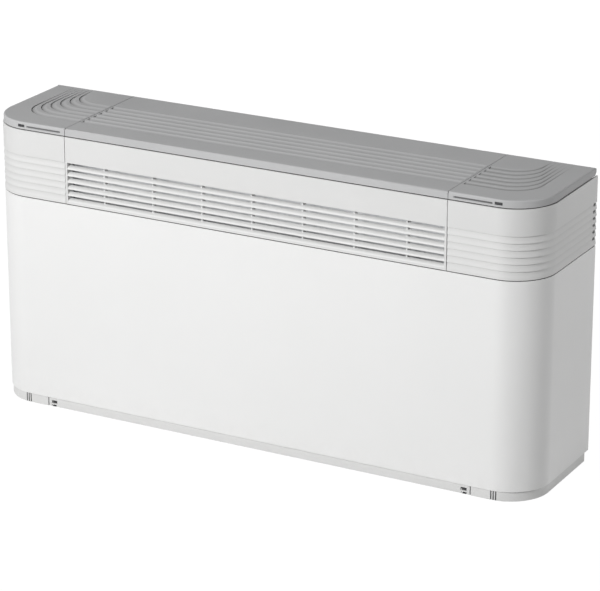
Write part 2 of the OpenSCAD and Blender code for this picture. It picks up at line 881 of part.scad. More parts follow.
module rear_panel() color(zinc) {
    low = plinth_h + plate_lift;
    difference() {
        translate([-plate_x, back_y - sheet_t, low])
            cube([2 * plate_x, sheet_t, lid_bottom - low]);
        for (x = [slot_edge - plate_x, plate_x - slot_edge])
            for (z = [slot_low, lid_bottom - slot_top])
                wall_slot(x, z);
    }
    translate([-seam_x, back_y - top_flange, lid_bottom - sheet_t])
        cube([2 * seam_x, top_flange, sheet_t]);
}

module cross_rails() color(zinc) {
    rail_half = half_w - sheet_t - 1;
    for (z = [plinth_h + rail_low, panel_top - rail_high - rail_h])
        translate([-rail_half, rail_y, z])
            cube([2 * rail_half, sheet_t, rail_h]);
}

// Right-hand side plate of the chassis
module side_plate() {
    low = plinth_h + plate_lift;
    difference() {
        union() {
            translate([plate_in, front_y + plate_front, low])
                cube([sheet_t, rail_y - front_y - plate_front, bay_under - low]);
            translate([plate_in, front_y + plate_front, low])
                cube([plate_flange, sheet_t, bay_under - low - 12]);
        }
        bar_x(plate_in - 1, sheet_t + 2, vane_r + turn_fit, vane_y, vane_z);
    }
}

module right_side_plate() color(zinc) side_plate();

module left_side_plate() color(zinc) {
    difference() {
        mirror([1, 0, 0])
            side_plate();
        bar_x(-plate_x - 1, sheet_t + 2, root_r + slide_fit, spigot_y, spigot_z);
        coil_frame()
            for (z = [-stub_off, stub_off])
                bar_x(-plate_x - 1, sheet_t + 2, header_r + slide_fit, 0, z);
    }
}

module fan_deck() color(zinc) {
    difference() {
        translate([-plate_in, front_y + plate_front, deck_z])
            cube([2 * plate_in, rail_y - front_y - plate_front, sheet_t]);
        for (s = [-1, 1])
            translate([s * fan_x - housing_w / 2 + housing_t, throat_y, deck_z - 1])
                cube([housing_w - 2 * housing_t, throat_end - throat_y, sheet_t + 2]);
    }
}

module coil_fins() color(zinc) {
    coil_frame()
        for (i = [0:fin_n - 1])
            along_x(i * fin_step - fin_half, fin_t)
                difference() {
                    square([coil_t, coil_h], center = true);
                    tube_holes();
                }
}

// Tube positions across the coil
module tube_holes() {
    for (i = [0:row_n - 1])
        for (s = [-1, 1])
            translate([s * layer_off, row_first + i * row_pitch])
                circle(tube_r + tube_fit);
}

// Half-round bend between two tubes of one layer, opening towards -X
module bend(x, y, z) {
    translate([x, y, z])
        rotate([90, 90, 0])
            rotate_extrude(angle = 180)
                translate([row_pitch / 2, 0])
                    circle(tube_r);
}

module coil_circuit() color(copper) {
    bend_x = fin_half + end_t;
    coil_frame() {
        for (i = [0:row_n - 1])
            for (s = [-1, 1])
                bar_x(-bend_x - 2, 2 * bend_x + 4, tube_r, s * layer_off, row_first + i * row_pitch);
        for (s = [-1, 1]) {
            for (i = [0:2:row_n - 2])
                bend(bend_x + 2, s * layer_off, row_first + (i + 0.5) * row_pitch);
            for (i = [1:2:row_n - 3])
                mirror([1, 0, 0])
                    bend(bend_x + 2, s * layer_off, row_first + (i + 0.5) * row_pitch);
        }
        for (z = [-stub_off, stub_off]) {
            translate([-header_x, -layer_off - tube_r - 2, z])
                rotate([-90, 0, 0])
                    cylinder(h = 2 * (layer_off + tube_r + 2), r = header_r);
            bar_x(-socket_x - 8, socket_x + 8 - header_x, header_r, 0, z);
            for (s = [-1, 1])
                bar_x(-header_x, header_x - bend_x, tube_r, s * layer_off, z);
        }
    }
}

module coil_end_plates() color(zinc) {
    coil_frame()
        for (s = [-1, 1]) {
            along_x(s > 0 ? fin_half : -fin_half - end_t, end_t)
                difference() {
                    square([coil_t, coil_h], center = true);
                    tube_holes();
                }
            for (z = [-coil_h / 2, coil_h / 2 - end_t])
                translate([s > 0 ? fin_half : -plate_in, -coil_t / 2, z])
                    cube([coil_in, coil_t, end_t]);
        }
}

// Brass sockets on the two pipe ends, with a flat on top
module water_sockets() color(brass) {
    coil_frame()
        for (z = [-stub_off, stub_off])
            translate([-socket_x, 0, z])
                rotate([coil_tilt, 0, 0])
                    difference() {
                        rotate([0, -90, 0])
                            cylinder(h = socket_l, r = socket_out, $fn = 6);
                        bar_x(-socket_l - 1, thread_l + 1, socket_r, 0, 0);
                        bar_x(-9, 10, header_r + hold_fit, 0, 0);
                    }
}

// Air vent on the upper socket
module air_vent() color(brass) {
    y = coil_y + stub_off * sin(coil_tilt);
    z = coil_z + stub_off * cos(coil_tilt);
    translate([-socket_x - socket_l / 2, y + socket_out * cos(30), z])
        rotate([-90, 0, 0]) {
            cylinder(h = 9, r = 4.5);
            translate([0, 0, 9])
                cylinder(h = 5, r = 3);
        }
}

module drip_tray() color(dark) {
    tray_half = plate_in - 5;
    difference() {
        union() {
            difference() {
                translate([-tray_half, tray_front, tray_z])
                    cube([2 * tray_half, tray_w, tray_h]);
                translate([tray_t - tray_half, tray_front + tray_t, tray_z + tray_t])
                    cube([2 * (tray_half - tray_t), tray_w - 2 * tray_t, tray_h]);
            }
            bar_x(-plate_x - spigot_l, spigot_l, spigot_r, spigot_y, spigot_z);
            bar_x(-plate_x - root_l, plate_x + root_l - tray_half + 1, root_r, spigot_y, spigot_z);
        }
        bar_x(-plate_x - spigot_l - 1, plate_x + spigot_l - tray_half + 5, spigot_r - 1.6,
            spigot_y, spigot_z);
    }
}

// Side view of a fan housing in Y and Z, grown by a wall: a spiral that opens upwards at the rear
module scroll(grow, top) {
    turns = [for (i = [0:20]) let (t = i / 20,
        a = scroll_start + t * (360 - scroll_start),
        r = scroll_min + t * scroll_grow + grow) [fan_y + r * cos(a), fan_z + r * sin(a)]];
    polygon(concat(turns, [[throat_end + grow, top], [throat_y - grow, top]]));
}

module fan_housing() {
    difference() {
        union() {
            along_x(housing_in, housing_w)
                scroll(housing_t, deck_z);
            translate([housing_in - 8, throat_y - 10, deck_z - 3])
                cube([housing_w + 16, throat_end - throat_y + 20, 3]);
            bar_x(housing_in - 5, housing_w + 10, inlet_r + 3, fan_y, fan_z);
        }
        along_x(housing_in + housing_t, housing_w - 2 * housing_t)
            scroll(0, deck_z + 1);
        bar_x(housing_in - 6, housing_w + 12, inlet_r, fan_y, fan_z);
    }
}

module right_fan_housing() color(dark) fan_housing();

module left_fan_housing() color(dark) {
    mirror([1, 0, 0])
        fan_housing();
}

// Section of one curved impeller blade
module fan_blade() {
    span = fan_r - fan_in - 1;
    edge = [for (i = [0:4]) let (r = fan_in + 0.5 + span * i / 4, a = 14 * pow(i / 4, 1.6)) [r, a]];
    polygon(concat(
        [for (p = edge) [p[0] * cos(p[1]), p[0] * sin(p[1])]],
        [for (i = [4:-1:0]) let (p = edge[i]) [p[0] * cos(p[1] + 1.6), p[0] * sin(p[1] + 1.6)]]));
}

// Impeller with a middle disc, two end rings and curved blades
module impeller(x) {
    translate([x, fan_y, fan_z])
        rotate([0, 90, 0])
            difference() {
                union() {
                    for (i = [0:blade_n - 1])
                        rotate([0, 0, i * 360 / blade_n])
                            translate([0, 0, -fan_l / 2])
                                linear_extrude(fan_l)
                                    fan_blade();
                    translate([0, 0, -1.5])
                        cylinder(h = 3, r = fan_r);
                    translate([0, 0, -14])
                        cylinder(h = 28, r = 14);
                    for (z = [-fan_l / 2, fan_l / 2 - 4])
                        translate([0, 0, z])
                            difference() {
                                cylinder(h = 4, r = fan_r);
                                translate([0, 0, -1])
                                    cylinder(h = 6, r = fan_r - 4);
                            }
                }
                translate([0, 0, -20])
                    cylinder(h = 40, r = shaft_r + hold_fit);
            }
}

module right_impeller() color(dark) impeller(fan_x);

module left_impeller() color(dark) impeller(-fan_x);

module motor_shaft() color(zinc) {
    bar_x(-fan_x - 22, 2 * fan_x + 44, shaft_r, fan_y, fan_z);
}

module motor() color(dark) {
    difference() {
        union() {
            bar_x(-motor_l / 2, motor_l, motor_r, fan_y, fan_z);
            bar_x(-motor_l / 2 - 7, motor_l + 14, motor_r * 0.4, fan_y, fan_z);
        }
        bar_x(-motor_l, 2 * motor_l, shaft_r + turn_fit, fan_y, fan_z);
    }
}

module motor_rings() color(dark) {
    for (x = [-ring_x - ring_w, ring_x])
        difference() {
            bar_x(x, ring_w, clamp_r, fan_y, fan_z);
            bar_x(x - 1, ring_w + 2, motor_r + ring_fit, fan_y, fan_z);
        }
}

module motor_bracket() color(zinc) {
    difference() {
        union() {
            for (x = [-ring_x - ring_w, ring_x]) {
                bar_x(x, ring_w, clamp_r + clamp_t, fan_y, fan_z);
                translate([x, fan_y - 30, fan_z])
                    cube([ring_w, 60, deck_z - fan_z]);
            }
            translate([-ring_x - ring_w, fan_y - 30, deck_z - 4])
                cube([2 * (ring_x + ring_w), 60, 4]);
        }
        bar_x(-motor_l, 2 * motor_l, clamp_r, fan_y, fan_z);
    }
}

module air_diverter() color(zinc) {
    vane_half = plate_in - 1.5;
    bar_x(-plate_x - 3, plate_x + 3 + lever_x + lever_t, vane_r, vane_y, vane_z);
    translate([-vane_half, vane_y - vane_t / 2, vane_z - vane_l])
        cube([2 * vane_half, vane_t, vane_l]);
}

// Lever on the diverter shaft, leaning back while the vane hangs down
module diverter_lever() color(dark) {
    difference() {
        union() {
            bar_x(lever_x, lever_t, vane_r + 3.5, vane_y, vane_z);
            translate([lever_x, vane_y, vane_z])
                rotate([-lever_half, 0, 0])
                    translate([0, -lever_w / 2, 0])
                        cube([lever_t, lever_w, lever_l]);
        }
        bar_x(lever_x - 1, lever_t + 2, vane_r + hold_fit, vane_y, vane_z);
    }
}

module control_plate() color(dark) {
    difference() {
        translate([control_x, control_y, bay_top])
            cube([control_l, control_d, control_t]);
        for (i = [-1, 1])
            translate([knob_x + i * knob_gap / 2, knob_y, bay_top - 1])
                cylinder(h = control_t + 2, r = stem_r + turn_fit);
    }
}

// Round knob with a grip across its top
module knob(x) {
    translate([x, knob_y, knob_z]) {
        cylinder(h = knob_h - 4, r = knob_r);
        translate([-2.5, -knob_r + 1.5, 0])
            cube([5, 2 * knob_r - 3, knob_h]);
        translate([0, 0, rest_fit - control_t])
            cylinder(h = control_t, r = stem_r);
    }
}

module temperature_knob() color(grey) knob(knob_x - knob_gap / 2);

module speed_knob() color(grey) knob(knob_x + knob_gap / 2);

module terminal_box() color(zinc) {
    gland_x = plate_x + box_w - 16;
    difference() {
        translate([plate_x, box_y, box_z])
            cube([box_w, box_d, box_h]);
        translate([plate_x + box_t, box_y + box_t, box_z + box_t])
            cube([box_w, box_d - 2 * box_t, box_h - 2 * box_t]);
        translate([gland_x, box_y + box_d / 2, box_z - 1])
            cylinder(h = box_t + 2, r = gland_r);
    }
}

module terminal_cover() color(grey) {
    translate([plate_x + box_w, box_y, box_z])
        cube([box_t, box_d, box_h]);
}

module cable_gland() color(dark) {
    translate([plate_x + box_w - 16, box_y + box_d / 2, box_z])
        mirror([0, 0, 1])
            difference() {
                union() {
                    cylinder(h = 6, r = gland_r + 6, $fn = 6);
                    cylinder(h = 16, r = gland_r + 3.5);
                }
                translate([0, 0, -1])
                    cylinder(h = 18, r = gland_r);
            }
}

// Screws that hold the two end covers, two on each bay floor
module cover_screws() color(zinc) {
    for (s = [-1, 1])
        for (y = [-1, 1])
            translate([s * (plate_x + screw_out), y * screw_y, bay_top]) {
                cylinder(h = screw_head, r = screw_r * 2);
                translate([0, 0, -screw_l])
                    cylinder(h = screw_l + screw_head / 2, r = screw_r);
            }
}

front_panel();
left_end_cover();
right_end_cover();
front_grille();
top_grille();
left_lid();
right_lid();
left_hinge_pin();
right_hinge_pin();
left_plinth();
right_plinth();
filter_frame();
filter_mesh();
left_latch();
right_latch();
rear_panel();
cross_rails();
left_side_plate();
right_side_plate();
fan_deck();
coil_fins();
coil_circuit();
coil_end_plates();
water_sockets();
air_vent();
drip_tray();
left_fan_housing();
right_fan_housing();
left_impeller();
right_impeller();
motor_shaft();
motor();
motor_bracket();
motor_rings();
air_diverter();
diverter_lever();
control_plate();
temperature_knob();
speed_knob();
terminal_box();
terminal_cover();
cable_gland();
cover_screws();
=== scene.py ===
# %% [markdown]
# # Fan coil unit, dressed
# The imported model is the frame: its solids already have the right size and the right place. Here
# the unit gets softened edges, finishes, small fittings, a camera and studio light.

# %% Load the frame
import bpy
import json
import math
from mathutils import Euler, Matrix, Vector

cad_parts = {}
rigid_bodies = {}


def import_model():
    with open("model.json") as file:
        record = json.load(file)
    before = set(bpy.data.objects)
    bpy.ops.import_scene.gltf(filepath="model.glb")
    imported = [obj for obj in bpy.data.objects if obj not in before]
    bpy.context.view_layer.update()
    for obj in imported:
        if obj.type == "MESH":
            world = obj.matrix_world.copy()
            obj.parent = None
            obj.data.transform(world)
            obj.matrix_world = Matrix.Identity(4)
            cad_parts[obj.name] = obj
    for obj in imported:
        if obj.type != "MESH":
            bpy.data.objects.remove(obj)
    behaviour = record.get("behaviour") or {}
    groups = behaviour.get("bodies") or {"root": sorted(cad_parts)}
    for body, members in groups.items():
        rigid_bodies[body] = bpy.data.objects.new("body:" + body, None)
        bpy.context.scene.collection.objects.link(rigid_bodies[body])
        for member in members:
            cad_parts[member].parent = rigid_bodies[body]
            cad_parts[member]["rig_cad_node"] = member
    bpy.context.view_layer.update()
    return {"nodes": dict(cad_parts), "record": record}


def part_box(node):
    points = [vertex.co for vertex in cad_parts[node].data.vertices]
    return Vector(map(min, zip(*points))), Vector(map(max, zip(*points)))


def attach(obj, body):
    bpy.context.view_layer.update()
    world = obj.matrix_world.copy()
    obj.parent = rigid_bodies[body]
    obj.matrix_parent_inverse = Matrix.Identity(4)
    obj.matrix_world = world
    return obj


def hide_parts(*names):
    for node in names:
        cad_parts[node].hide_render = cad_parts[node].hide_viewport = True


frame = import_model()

scene = bpy.context.scene

# %% [markdown]
# ## Camera
# The unit is seen from the front right and a little above, through a long lens. A long lens keeps
# the uprights nearly parallel, so no lens shift is needed and every other view stays centred.
# The angles, the place and the focal length come from matching corners of the cabinet.

# %% Set the camera
scene.view_settings.view_transform = "Standard"
IMAGE_W = 600
FOCAL_PX = 2948.0
CAMERA_PLACE = (2.14545, -3.90015, 1.84276)
CAMERA_TURN = math.radians(28.483)
CAMERA_DOWN = math.radians(19.952)

lens = bpy.data.cameras.new("studio_camera")
lens.sensor_fit = "HORIZONTAL"
lens.sensor_width = 36.0
lens.lens = FOCAL_PX / IMAGE_W * lens.sensor_width
lens.clip_end = 100.0
camera = bpy.data.objects.new("studio_camera", lens)
scene.collection.objects.link(camera)
turn = Euler((0, 0, CAMERA_TURN)).to_matrix()
tilt = Euler((math.radians(90) - CAMERA_DOWN, 0, 0)).to_matrix()
camera.rotation_euler = (turn @ tilt).to_euler()
camera.location = CAMERA_PLACE
scene.camera = camera
print("camera lens", round(lens.lens, 1), "mm")

# %% [markdown]
# ## Studio light
# The front is the brightest face, the top and the right side are about half as bright, and the
# round corner between them is the darkest. One large soft lamp at the front left and a weaker one
# at the right rear give that order, because both only graze the corner. A third lamp, low and wide,
# lights the back for the other views. It is low so that it adds nothing to the top.

# %% Hang the lamps
def soft_lamp(name, place, aim, size, power, height=None):
    data = bpy.data.lights.new(name, "AREA")
    data.shape = "RECTANGLE"
    data.size = size
    data.size_y = height or size
    data.energy = power
    lamp = bpy.data.objects.new(name, data)
    scene.collection.objects.link(lamp)
    lamp.location = place
    lamp.rotation_euler = (Vector(aim) - Vector(place)).to_track_quat("-Z", "Y").to_euler()
    lamp.visible_camera = False
    print("lamp", name, "at", place, power, "W")


MIDDLE, RIGHT_END = (0, 0, 0.25), (0.45, 0, 0.25)
soft_lamp("key_front_left", (-1.0, -3.8, 2.5), MIDDLE, size=1.6, power=168)
soft_lamp("fill_right_rear", (2.7, 1.0, 0.8), RIGHT_END, size=1.2, power=18)
soft_lamp("fill_behind", (-1.4, 2.6, 0.26), MIDDLE, size=1.6, power=34, height=0.4)

# %% [markdown]
# ## White air and white floor
# The background is plain white. White from more light would burn out the white cabinet, so the
# light path decides: rays from the camera, from gloss and through gaps see white, and the rays
# that light the object see a dim room. The floor mixes the same white with a real matt surface,
# so that it still bounces light up and keeps a faint shadow.

# %% Make the air
ROOM_LIGHT, SEEN_LIGHT = 0.13, 1.0


def white_for_seen_rays(tree):
    path = tree.nodes.new("ShaderNodeLightPath")
    total = path.outputs["Is Camera Ray"]
    for ray in ("Is Glossy Ray", "Is Transmission Ray"):
        either = tree.nodes.new("ShaderNodeMath")
        either.operation = "MAXIMUM"
        tree.links.new(total, either.inputs[0])
        tree.links.new(path.outputs[ray], either.inputs[1])
        total = either.outputs[0]
    return total


world = bpy.data.worlds.new("studio_air")
scene.world = world
world.use_nodes = True
air = world.node_tree
air.nodes.clear()
dim = air.nodes.new("ShaderNodeBackground")
dim.inputs["Strength"].default_value = ROOM_LIGHT
white_air = air.nodes.new("ShaderNodeBackground")
white_air.inputs["Strength"].default_value = SEEN_LIGHT
for sky in (dim, white_air):
    sky.inputs["Color"].default_value = (1, 1, 1, 1)
air_mix = air.nodes.new("ShaderNodeMixShader")
air_out = air.nodes.new("ShaderNodeOutputWorld")
air.links.new(white_for_seen_rays(air), air_mix.inputs[0])
air.links.new(dim.outputs[0], air_mix.inputs[1])
air.links.new(white_air.outputs[0], air_mix.inputs[2])
air.links.new(air_mix.outputs[0], air_out.inputs["Surface"])
print("air", world.name)

# %% Make the floor
FLOOR_SIZE, FLOOR_Z = 30, -0.0005
FLOOR_GREY, FLOOR_GLOW, GLOW_SHARE = (0.5, 0.5, 0.5, 1), 1.12, 0.88

bpy.ops.object.select_all(action="DESELECT")
bpy.ops.mesh.primitive_plane_add(size=FLOOR_SIZE, location=(0, 0, FLOOR_Z))
floor = bpy.context.object
floor.name = "studio_floor"
floor_paint = bpy.data.materials.new("studio_white")
floor_paint.use_nodes = True
tree = floor_paint.node_tree
tree.nodes.clear()
matt = tree.nodes.new("ShaderNodeBsdfDiffuse")
matt.inputs["Color"].default_value = FLOOR_GREY
glow = tree.nodes.new("ShaderNodeEmission")
glow.inputs["Strength"].default_value = FLOOR_GLOW
share = tree.nodes.new("ShaderNodeMath")
share.operation = "MULTIPLY"
share.inputs[1].default_value = GLOW_SHARE
floor_mix = tree.nodes.new("ShaderNodeMixShader")
floor_out = tree.nodes.new("ShaderNodeOutputMaterial")
tree.links.new(white_for_seen_rays(tree), share.inputs[0])
tree.links.new(share.outputs[0], floor_mix.inputs[0])
tree.links.new(matt.outputs[0], floor_mix.inputs[1])
tree.links.new(glow.outputs[0], floor_mix.inputs[2])
tree.links.new(floor_mix.outputs[0], floor_out.inputs["Surface"])
floor.data.materials.append(floor_paint)
print("floor at z", floor.location.z)

# %% [markdown]
# ## Shared surface effects
# Moulded plastic, powder paint and sheet metal all have fine detail that is the same kind of thing
# at another scale. Each effect is one node group, built once. A group gives only numbers that
# change over the surface; every material decides what to do with them.

# %% A helper for node groups
def effect(name, inputs, outputs):
    group = bpy.data.node_groups.new(name, "ShaderNodeTree")
    for label, value in inputs.items():
        socket = group.interface.new_socket(label, in_out="INPUT", socket_type="NodeSocketFloat")
        socket.default_value = value
    for label in outputs:
        group.interface.new_socket(label, in_out="OUTPUT", socket_type="NodeSocketFloat")
    start = group.nodes.new("NodeGroupInput")
    end = group.nodes.new("NodeGroupOutput")
    place = group.nodes.new("ShaderNodeTexCoord").outputs["Object"]
    return group, start, end, place


def scaled(group, value, factor):
    times = group.nodes.new("ShaderNodeMath")
    times.operation = "MULTIPLY"
    times.inputs[1].default_value = factor
    group.links.new(value, times.inputs[0])
    return times.outputs[0]


def noise(group, place, scale, detail, rough=0.5):
    node = group.nodes.new("ShaderNodeTexNoise")
    node.inputs["Detail"].default_value = detail
    node.inputs["Roughness"].default_value = rough
    group.links.new(place, node.inputs["Vector"])
    group.links.new(scale, node.inputs["Scale"])
    return node.outputs["Fac"]


def remap(group, value, low, high, new_low, new_high):
    node = group.nodes.new("ShaderNodeMapRange")
    ends = {"From Min": low, "From Max": high, "To Min": new_low, "To Max": new_high}
    for label, number in ends.items():
        node.inputs[label].default_value = number
    group.links.new(value, node.inputs["Value"])
    return node.outputs["Result"]


# %% [markdown]
# **Moulded grain**: the eroded skin of an injection mould, pits about half a millimetre wide, and
# a slow change of tone where the melt cooled unevenly.

# %% Moulded grain
grain, start, end, place = effect("moulded_grain", {"Scale": 1500.0}, ("Height", "Tone"))
pits = noise(grain, place, start.outputs["Scale"], detail=3.0, rough=0.6)
slow = noise(grain, place, scaled(grain, start.outputs["Scale"], 0.006), detail=2.0)
grain.links.new(pits, end.inputs["Height"])
grain.links.new(remap(grain, slow, 0.3, 0.7, 0.0, 1.0), end.inputs["Tone"])
print("effect", grain.name)

# %% [markdown]
# **Orange peel**: powder paint melts into low, soft waves two to three millimetres long, with a
# little film-thickness tone between them.

# %% Orange peel
peel, start, end, place = effect("orange_peel", {"Scale": 420.0}, ("Height", "Tone"))
waves = noise(peel, place, start.outputs["Scale"], detail=1.0, rough=0.4)
slow = noise(peel, place, scaled(peel, start.outputs["Scale"], 0.012), detail=3.0)
peel.links.new(waves, end.inputs["Height"])
peel.links.new(remap(peel, slow, 0.3, 0.7, 0.0, 1.0), end.inputs["Tone"])
print("effect", peel.name)

# %% [markdown]
# **Handling**: skin, cloths and packing leave areas that shine a little more or less than the rest.

# %% Handling
handling, start, end, place = effect("handling", {"Scale": 9.0}, ("Shine",))
soft = noise(handling, place, start.outputs["Scale"], detail=5.0, rough=0.62)
handling.links.new(remap(handling, soft, 0.32, 0.68, 0.0, 1.0), end.inputs["Shine"])
print("effect", handling.name)

# %% [markdown]
# **Kicked dust**: near the floor, shoes and mops leave a thin grey film that fades upwards.

# %% Kicked dust
dust, start, end, place = effect("kicked_dust", {"Scale": 60.0, "Reach": 0.05}, ("Mask",))
apart = dust.nodes.new("ShaderNodeSeparateXYZ")
dust.links.new(place, apart.inputs[0])
level = dust.nodes.new("ShaderNodeMath")
level.operation = "DIVIDE"
dust.links.new(apart.outputs["Z"], level.inputs[0])
dust.links.new(start.outputs["Reach"], level.inputs[1])
fade = remap(dust, level.outputs[0], 0.0, 1.0, 1.0, 0.0)
patches = noise(dust, place, start.outputs["Scale"], detail=6.0, rough=0.65)
patchy = remap(dust, patches, 0.4, 0.75, 0.0, 1.0)
both = dust.nodes.new("ShaderNodeMath")
both.operation = "MULTIPLY"
dust.links.new(fade, both.inputs[0])
dust.links.new(patchy, both.inputs[1])
dust.links.new(both.outputs[0], end.inputs["Mask"])
print("effect", dust.name)

# %% [markdown]
# **Zinc spangle**: hot-dip zinc freezes into flat crystals some millimetres wide, and each crystal
# shines in its own direction.

# %% Zinc spangle
spangle, start, end, place = effect("zinc_spangle", {"Scale": 210.0}, ("Tone", "Height"))
SHAKE_SCALE, SHAKE_REACH = 90.0, (0.006, 0.006, 0.006)
shaken = spangle.nodes.new("ShaderNodeTexNoise")
shaken.inputs["Scale"].default_value = SHAKE_SCALE
shaken.inputs["Detail"].default_value = 3.0
spangle.links.new(place, shaken.inputs["Vector"])
bent = spangle.nodes.new("ShaderNodeVectorMath")
bent.operation = "MULTIPLY_ADD"
bent.inputs[1].default_value = SHAKE_REACH
spangle.links.new(shaken.outputs["Color"], bent.inputs[0])
spangle.links.new(place, bent.inputs[2])
crystals = spangle.nodes.new("ShaderNodeTexVoronoi")
spangle.links.new(bent.outputs[0], crystals.inputs["Vector"])
spangle.links.new(start.outputs["Scale"], crystals.inputs["Scale"])
one = spangle.nodes.new("ShaderNodeSeparateColor")
spangle.links.new(crystals.outputs["Color"], one.inputs[0])
spangle.links.new(one.outputs[0], end.inputs["Tone"])
frost = noise(spangle, place, scaled(spangle, start.outputs["Scale"], 6.0), detail=2.0)
spangle.links.new(frost, end.inputs["Height"])
print("effect", spangle.name)

# %% [markdown]
# **Drawn lines**: tube, bar and rolled sheet carry fine lines along the way they were drawn, which
# is along the width of the unit for nearly all of them.

# %% Drawn lines
drawn, start, end, place = effect("drawn_lines", {"Scale": 900.0}, ("Height", "Tone"))
stretch = drawn.nodes.new("ShaderNodeVectorMath")
stretch.operation = "MULTIPLY"
stretch.inputs[1].default_value = (0.02, 1.0, 1.0)
drawn.links.new(place, stretch.inputs[0])
lines = noise(drawn, stretch.outputs[0], start.outputs["Scale"], detail=4.0, rough=0.6)
slow = noise(drawn, place, scaled(drawn, start.outputs["Scale"], 0.03), detail=4.0, rough=0.6)
drawn.links.new(lines, end.inputs["Height"])
drawn.links.new(remap(drawn, slow, 0.3, 0.7, 0.0, 1.0), end.inputs["Tone"])
print("effect", drawn.name)

# %% [markdown]
# ** Groove shade**: painted shade along the deepest line of a groove, which sees less of the room, so
# the colour there is darker than on the face around it. How deep a point lies in its groove is
# written on the mesh later, as an attribute named hollow: 0 at the rim, and at the bottom the
# weight that the piece is given.

# %% Groove shade, painted
groove_shade_group, start, end, _ = effect("painted_groove_shade", {"Rim": 0.16, "Bottom": 0.56}, ("Mask",))
hollow = groove_shade_group.nodes.new("ShaderNodeAttribute")
hollow.attribute_name = "hollow"
share = groove_shade_group.nodes.new("ShaderNodeMapRange")
groove_shade_group.links.new(hollow.outputs["Fac"], share.inputs["Value"])
groove_shade_group.links.new(start.outputs["Rim"], share.inputs["From Min"])
groove_shade_group.links.new(start.outputs["Bottom"], share.inputs["From Max"])
groove_shade_group.links.new(share.outputs["Result"], end.inputs["Mask"])
print("effect", groove_shade_group.name)

# %% [markdown]
# ## Finishes
# Each finish starts from one Principled shader. Plain numbers stand on its own sockets; only what
# changes over the surface is linked: a two-tone colour, a spread of roughness, and a bump.

# %% Helpers for finishes
FILM_SHARE = 0.15
MIX_MASK, MIX_FIRST, MIX_SECOND, MIX_COLOUR = 0, 6, 7, 2
finishes = {}


def new_finish(name, metallic=0.0):
    paint = bpy.data.materials.new(name)
    paint.use_nodes = True
    shader = paint.node_tree.nodes["Principled BSDF"]
    shader.inputs["Metallic"].default_value = metallic
    finishes[name] = paint
    return paint.node_tree, shader


def use_effect(tree, group, **values):
    node = tree.nodes.new("ShaderNodeGroup")
    node.node_tree = group
    for label, value in values.items():
        node.inputs[label].default_value = value
    return node.outputs


def two_tone(tree, mask, first, second):
    node = tree.nodes.new("ShaderNodeMix")
    node.data_type = "RGBA"
    for index, tone in ((MIX_FIRST, first), (MIX_SECOND, second)):
        if isinstance(tone, tuple):
            node.inputs[index].default_value = (*tone, 1)
        else:
            tree.links.new(tone, node.inputs[index])
    tree.links.new(mask, node.inputs[MIX_MASK])
    return node.outputs[MIX_COLOUR]


def bump(tree, shader, height, depth):
    node = tree.nodes.new("ShaderNodeBump")
    node.inputs["Distance"].default_value = depth
    node.inputs["Strength"].default_value = 1.0
    tree.links.new(height, node.inputs["Height"])
    tree.links.new(node.outputs["Normal"], shader.inputs["Normal"])


def plain_finish(name, group, scale, tones, rough, depth, metallic=0.0, gloss=None, dusty=None,
                 shade_tone=None):
    tree, shader = new_finish(name, metallic)
    if gloss is not None:
        shader.inputs["Specular IOR Level"].default_value = gloss
    skin = use_effect(tree, group, Scale=scale)
    shine = use_effect(tree, handling)
    colour = two_tone(tree, skin["Tone"], *tones)
    if dusty:
        dust_and_shade = use_effect(tree, dust)
        colour = two_tone(tree, scaled(tree, dust_and_shade["Mask"], FILM_SHARE), colour, dusty)
    # Painted shade: the last tone darkens the bottoms of grooves where the hollow attribute is
    # deep.
    if shade_tone:
        dust_and_shade = use_effect(tree, groove_shade_group)
        colour = two_tone(tree, dust_and_shade["Mask"], colour, shade_tone)
    tree.links.new(colour, shader.inputs["Base Color"])
    tree.links.new(remap(tree, shine["Shine"], 0.0, 1.0, *rough), shader.inputs["Roughness"])
    bump(tree, shader, skin["Height"], depth)
    print("finish", name)


# %% [markdown]
# The white steel sheet is powder painted; the white head, plinth and filter strip are moulded, so
# their grain is finer and they shine less. The grey lids and top are moulded with a coarser grain.

# %% White paint, white and grey mouldings
SHOE_GREY = (0.62, 0.61, 0.58)
plain_finish("white_paint", peel, 420, ((0.895, 0.895, 0.89), (0.88, 0.881, 0.875)),
             rough=(0.30, 0.40), depth=0.00006, dusty=SHOE_GREY)
# The last tone of the white and grey mouldings is painted shade at the bottom of their grooves.
plain_finish("white_plastic", grain, 1500, ((0.765, 0.765, 0.759), (0.745, 0.746, 0.74)),
             rough=(0.40, 0.50), depth=0.00005, dusty=SHOE_GREY, shade_tone=(0.64, 0.64, 0.634))
plain_finish("grey_plastic", grain, 1300, ((0.56, 0.562, 0.565), (0.535, 0.537, 0.541)),
             rough=(0.55, 0.65), depth=0.00006, gloss=0.15, shade_tone=(0.30, 0.30, 0.30))
plain_finish("shaded_grey", grain, 1300, ((0.16, 0.16, 0.163), (0.13, 0.13, 0.133)),
             rough=(0.5, 0.62), depth=0.00006)
plain_finish("box_plastic", grain, 1200, ((0.74, 0.74, 0.72), (0.70, 0.70, 0.68)),
             rough=(0.42, 0.55), depth=0.00006)

# %% [markdown]
# Inside are dark mouldings with a matt eroded skin, an enamelled motor and soft rubber. Rubber
# gets the roughest surface and hardly any gloss.

# %% Dark mouldings, enamel and rubber
plain_finish("black_plastic", grain, 1100, ((0.036, 0.036, 0.039), (0.052, 0.052, 0.055)),
             rough=(0.42, 0.6), depth=0.00008)
plain_finish("motor_paint", peel, 600, ((0.045, 0.047, 0.052), (0.06, 0.062, 0.068)),
             rough=(0.28, 0.42), depth=0.00008)
plain_finish("mount_rubber", grain, 800, ((0.022, 0.022, 0.022), (0.036, 0.035, 0.034)),
             rough=(0.75, 0.9), depth=0.00012, gloss=0.25)

# %% [markdown]
# Bare metals differ by their own colour and by how they were made: rolled or drawn lines for
# aluminium, steel and brass, brown bloom on copper, frozen crystals on galvanised sheet.

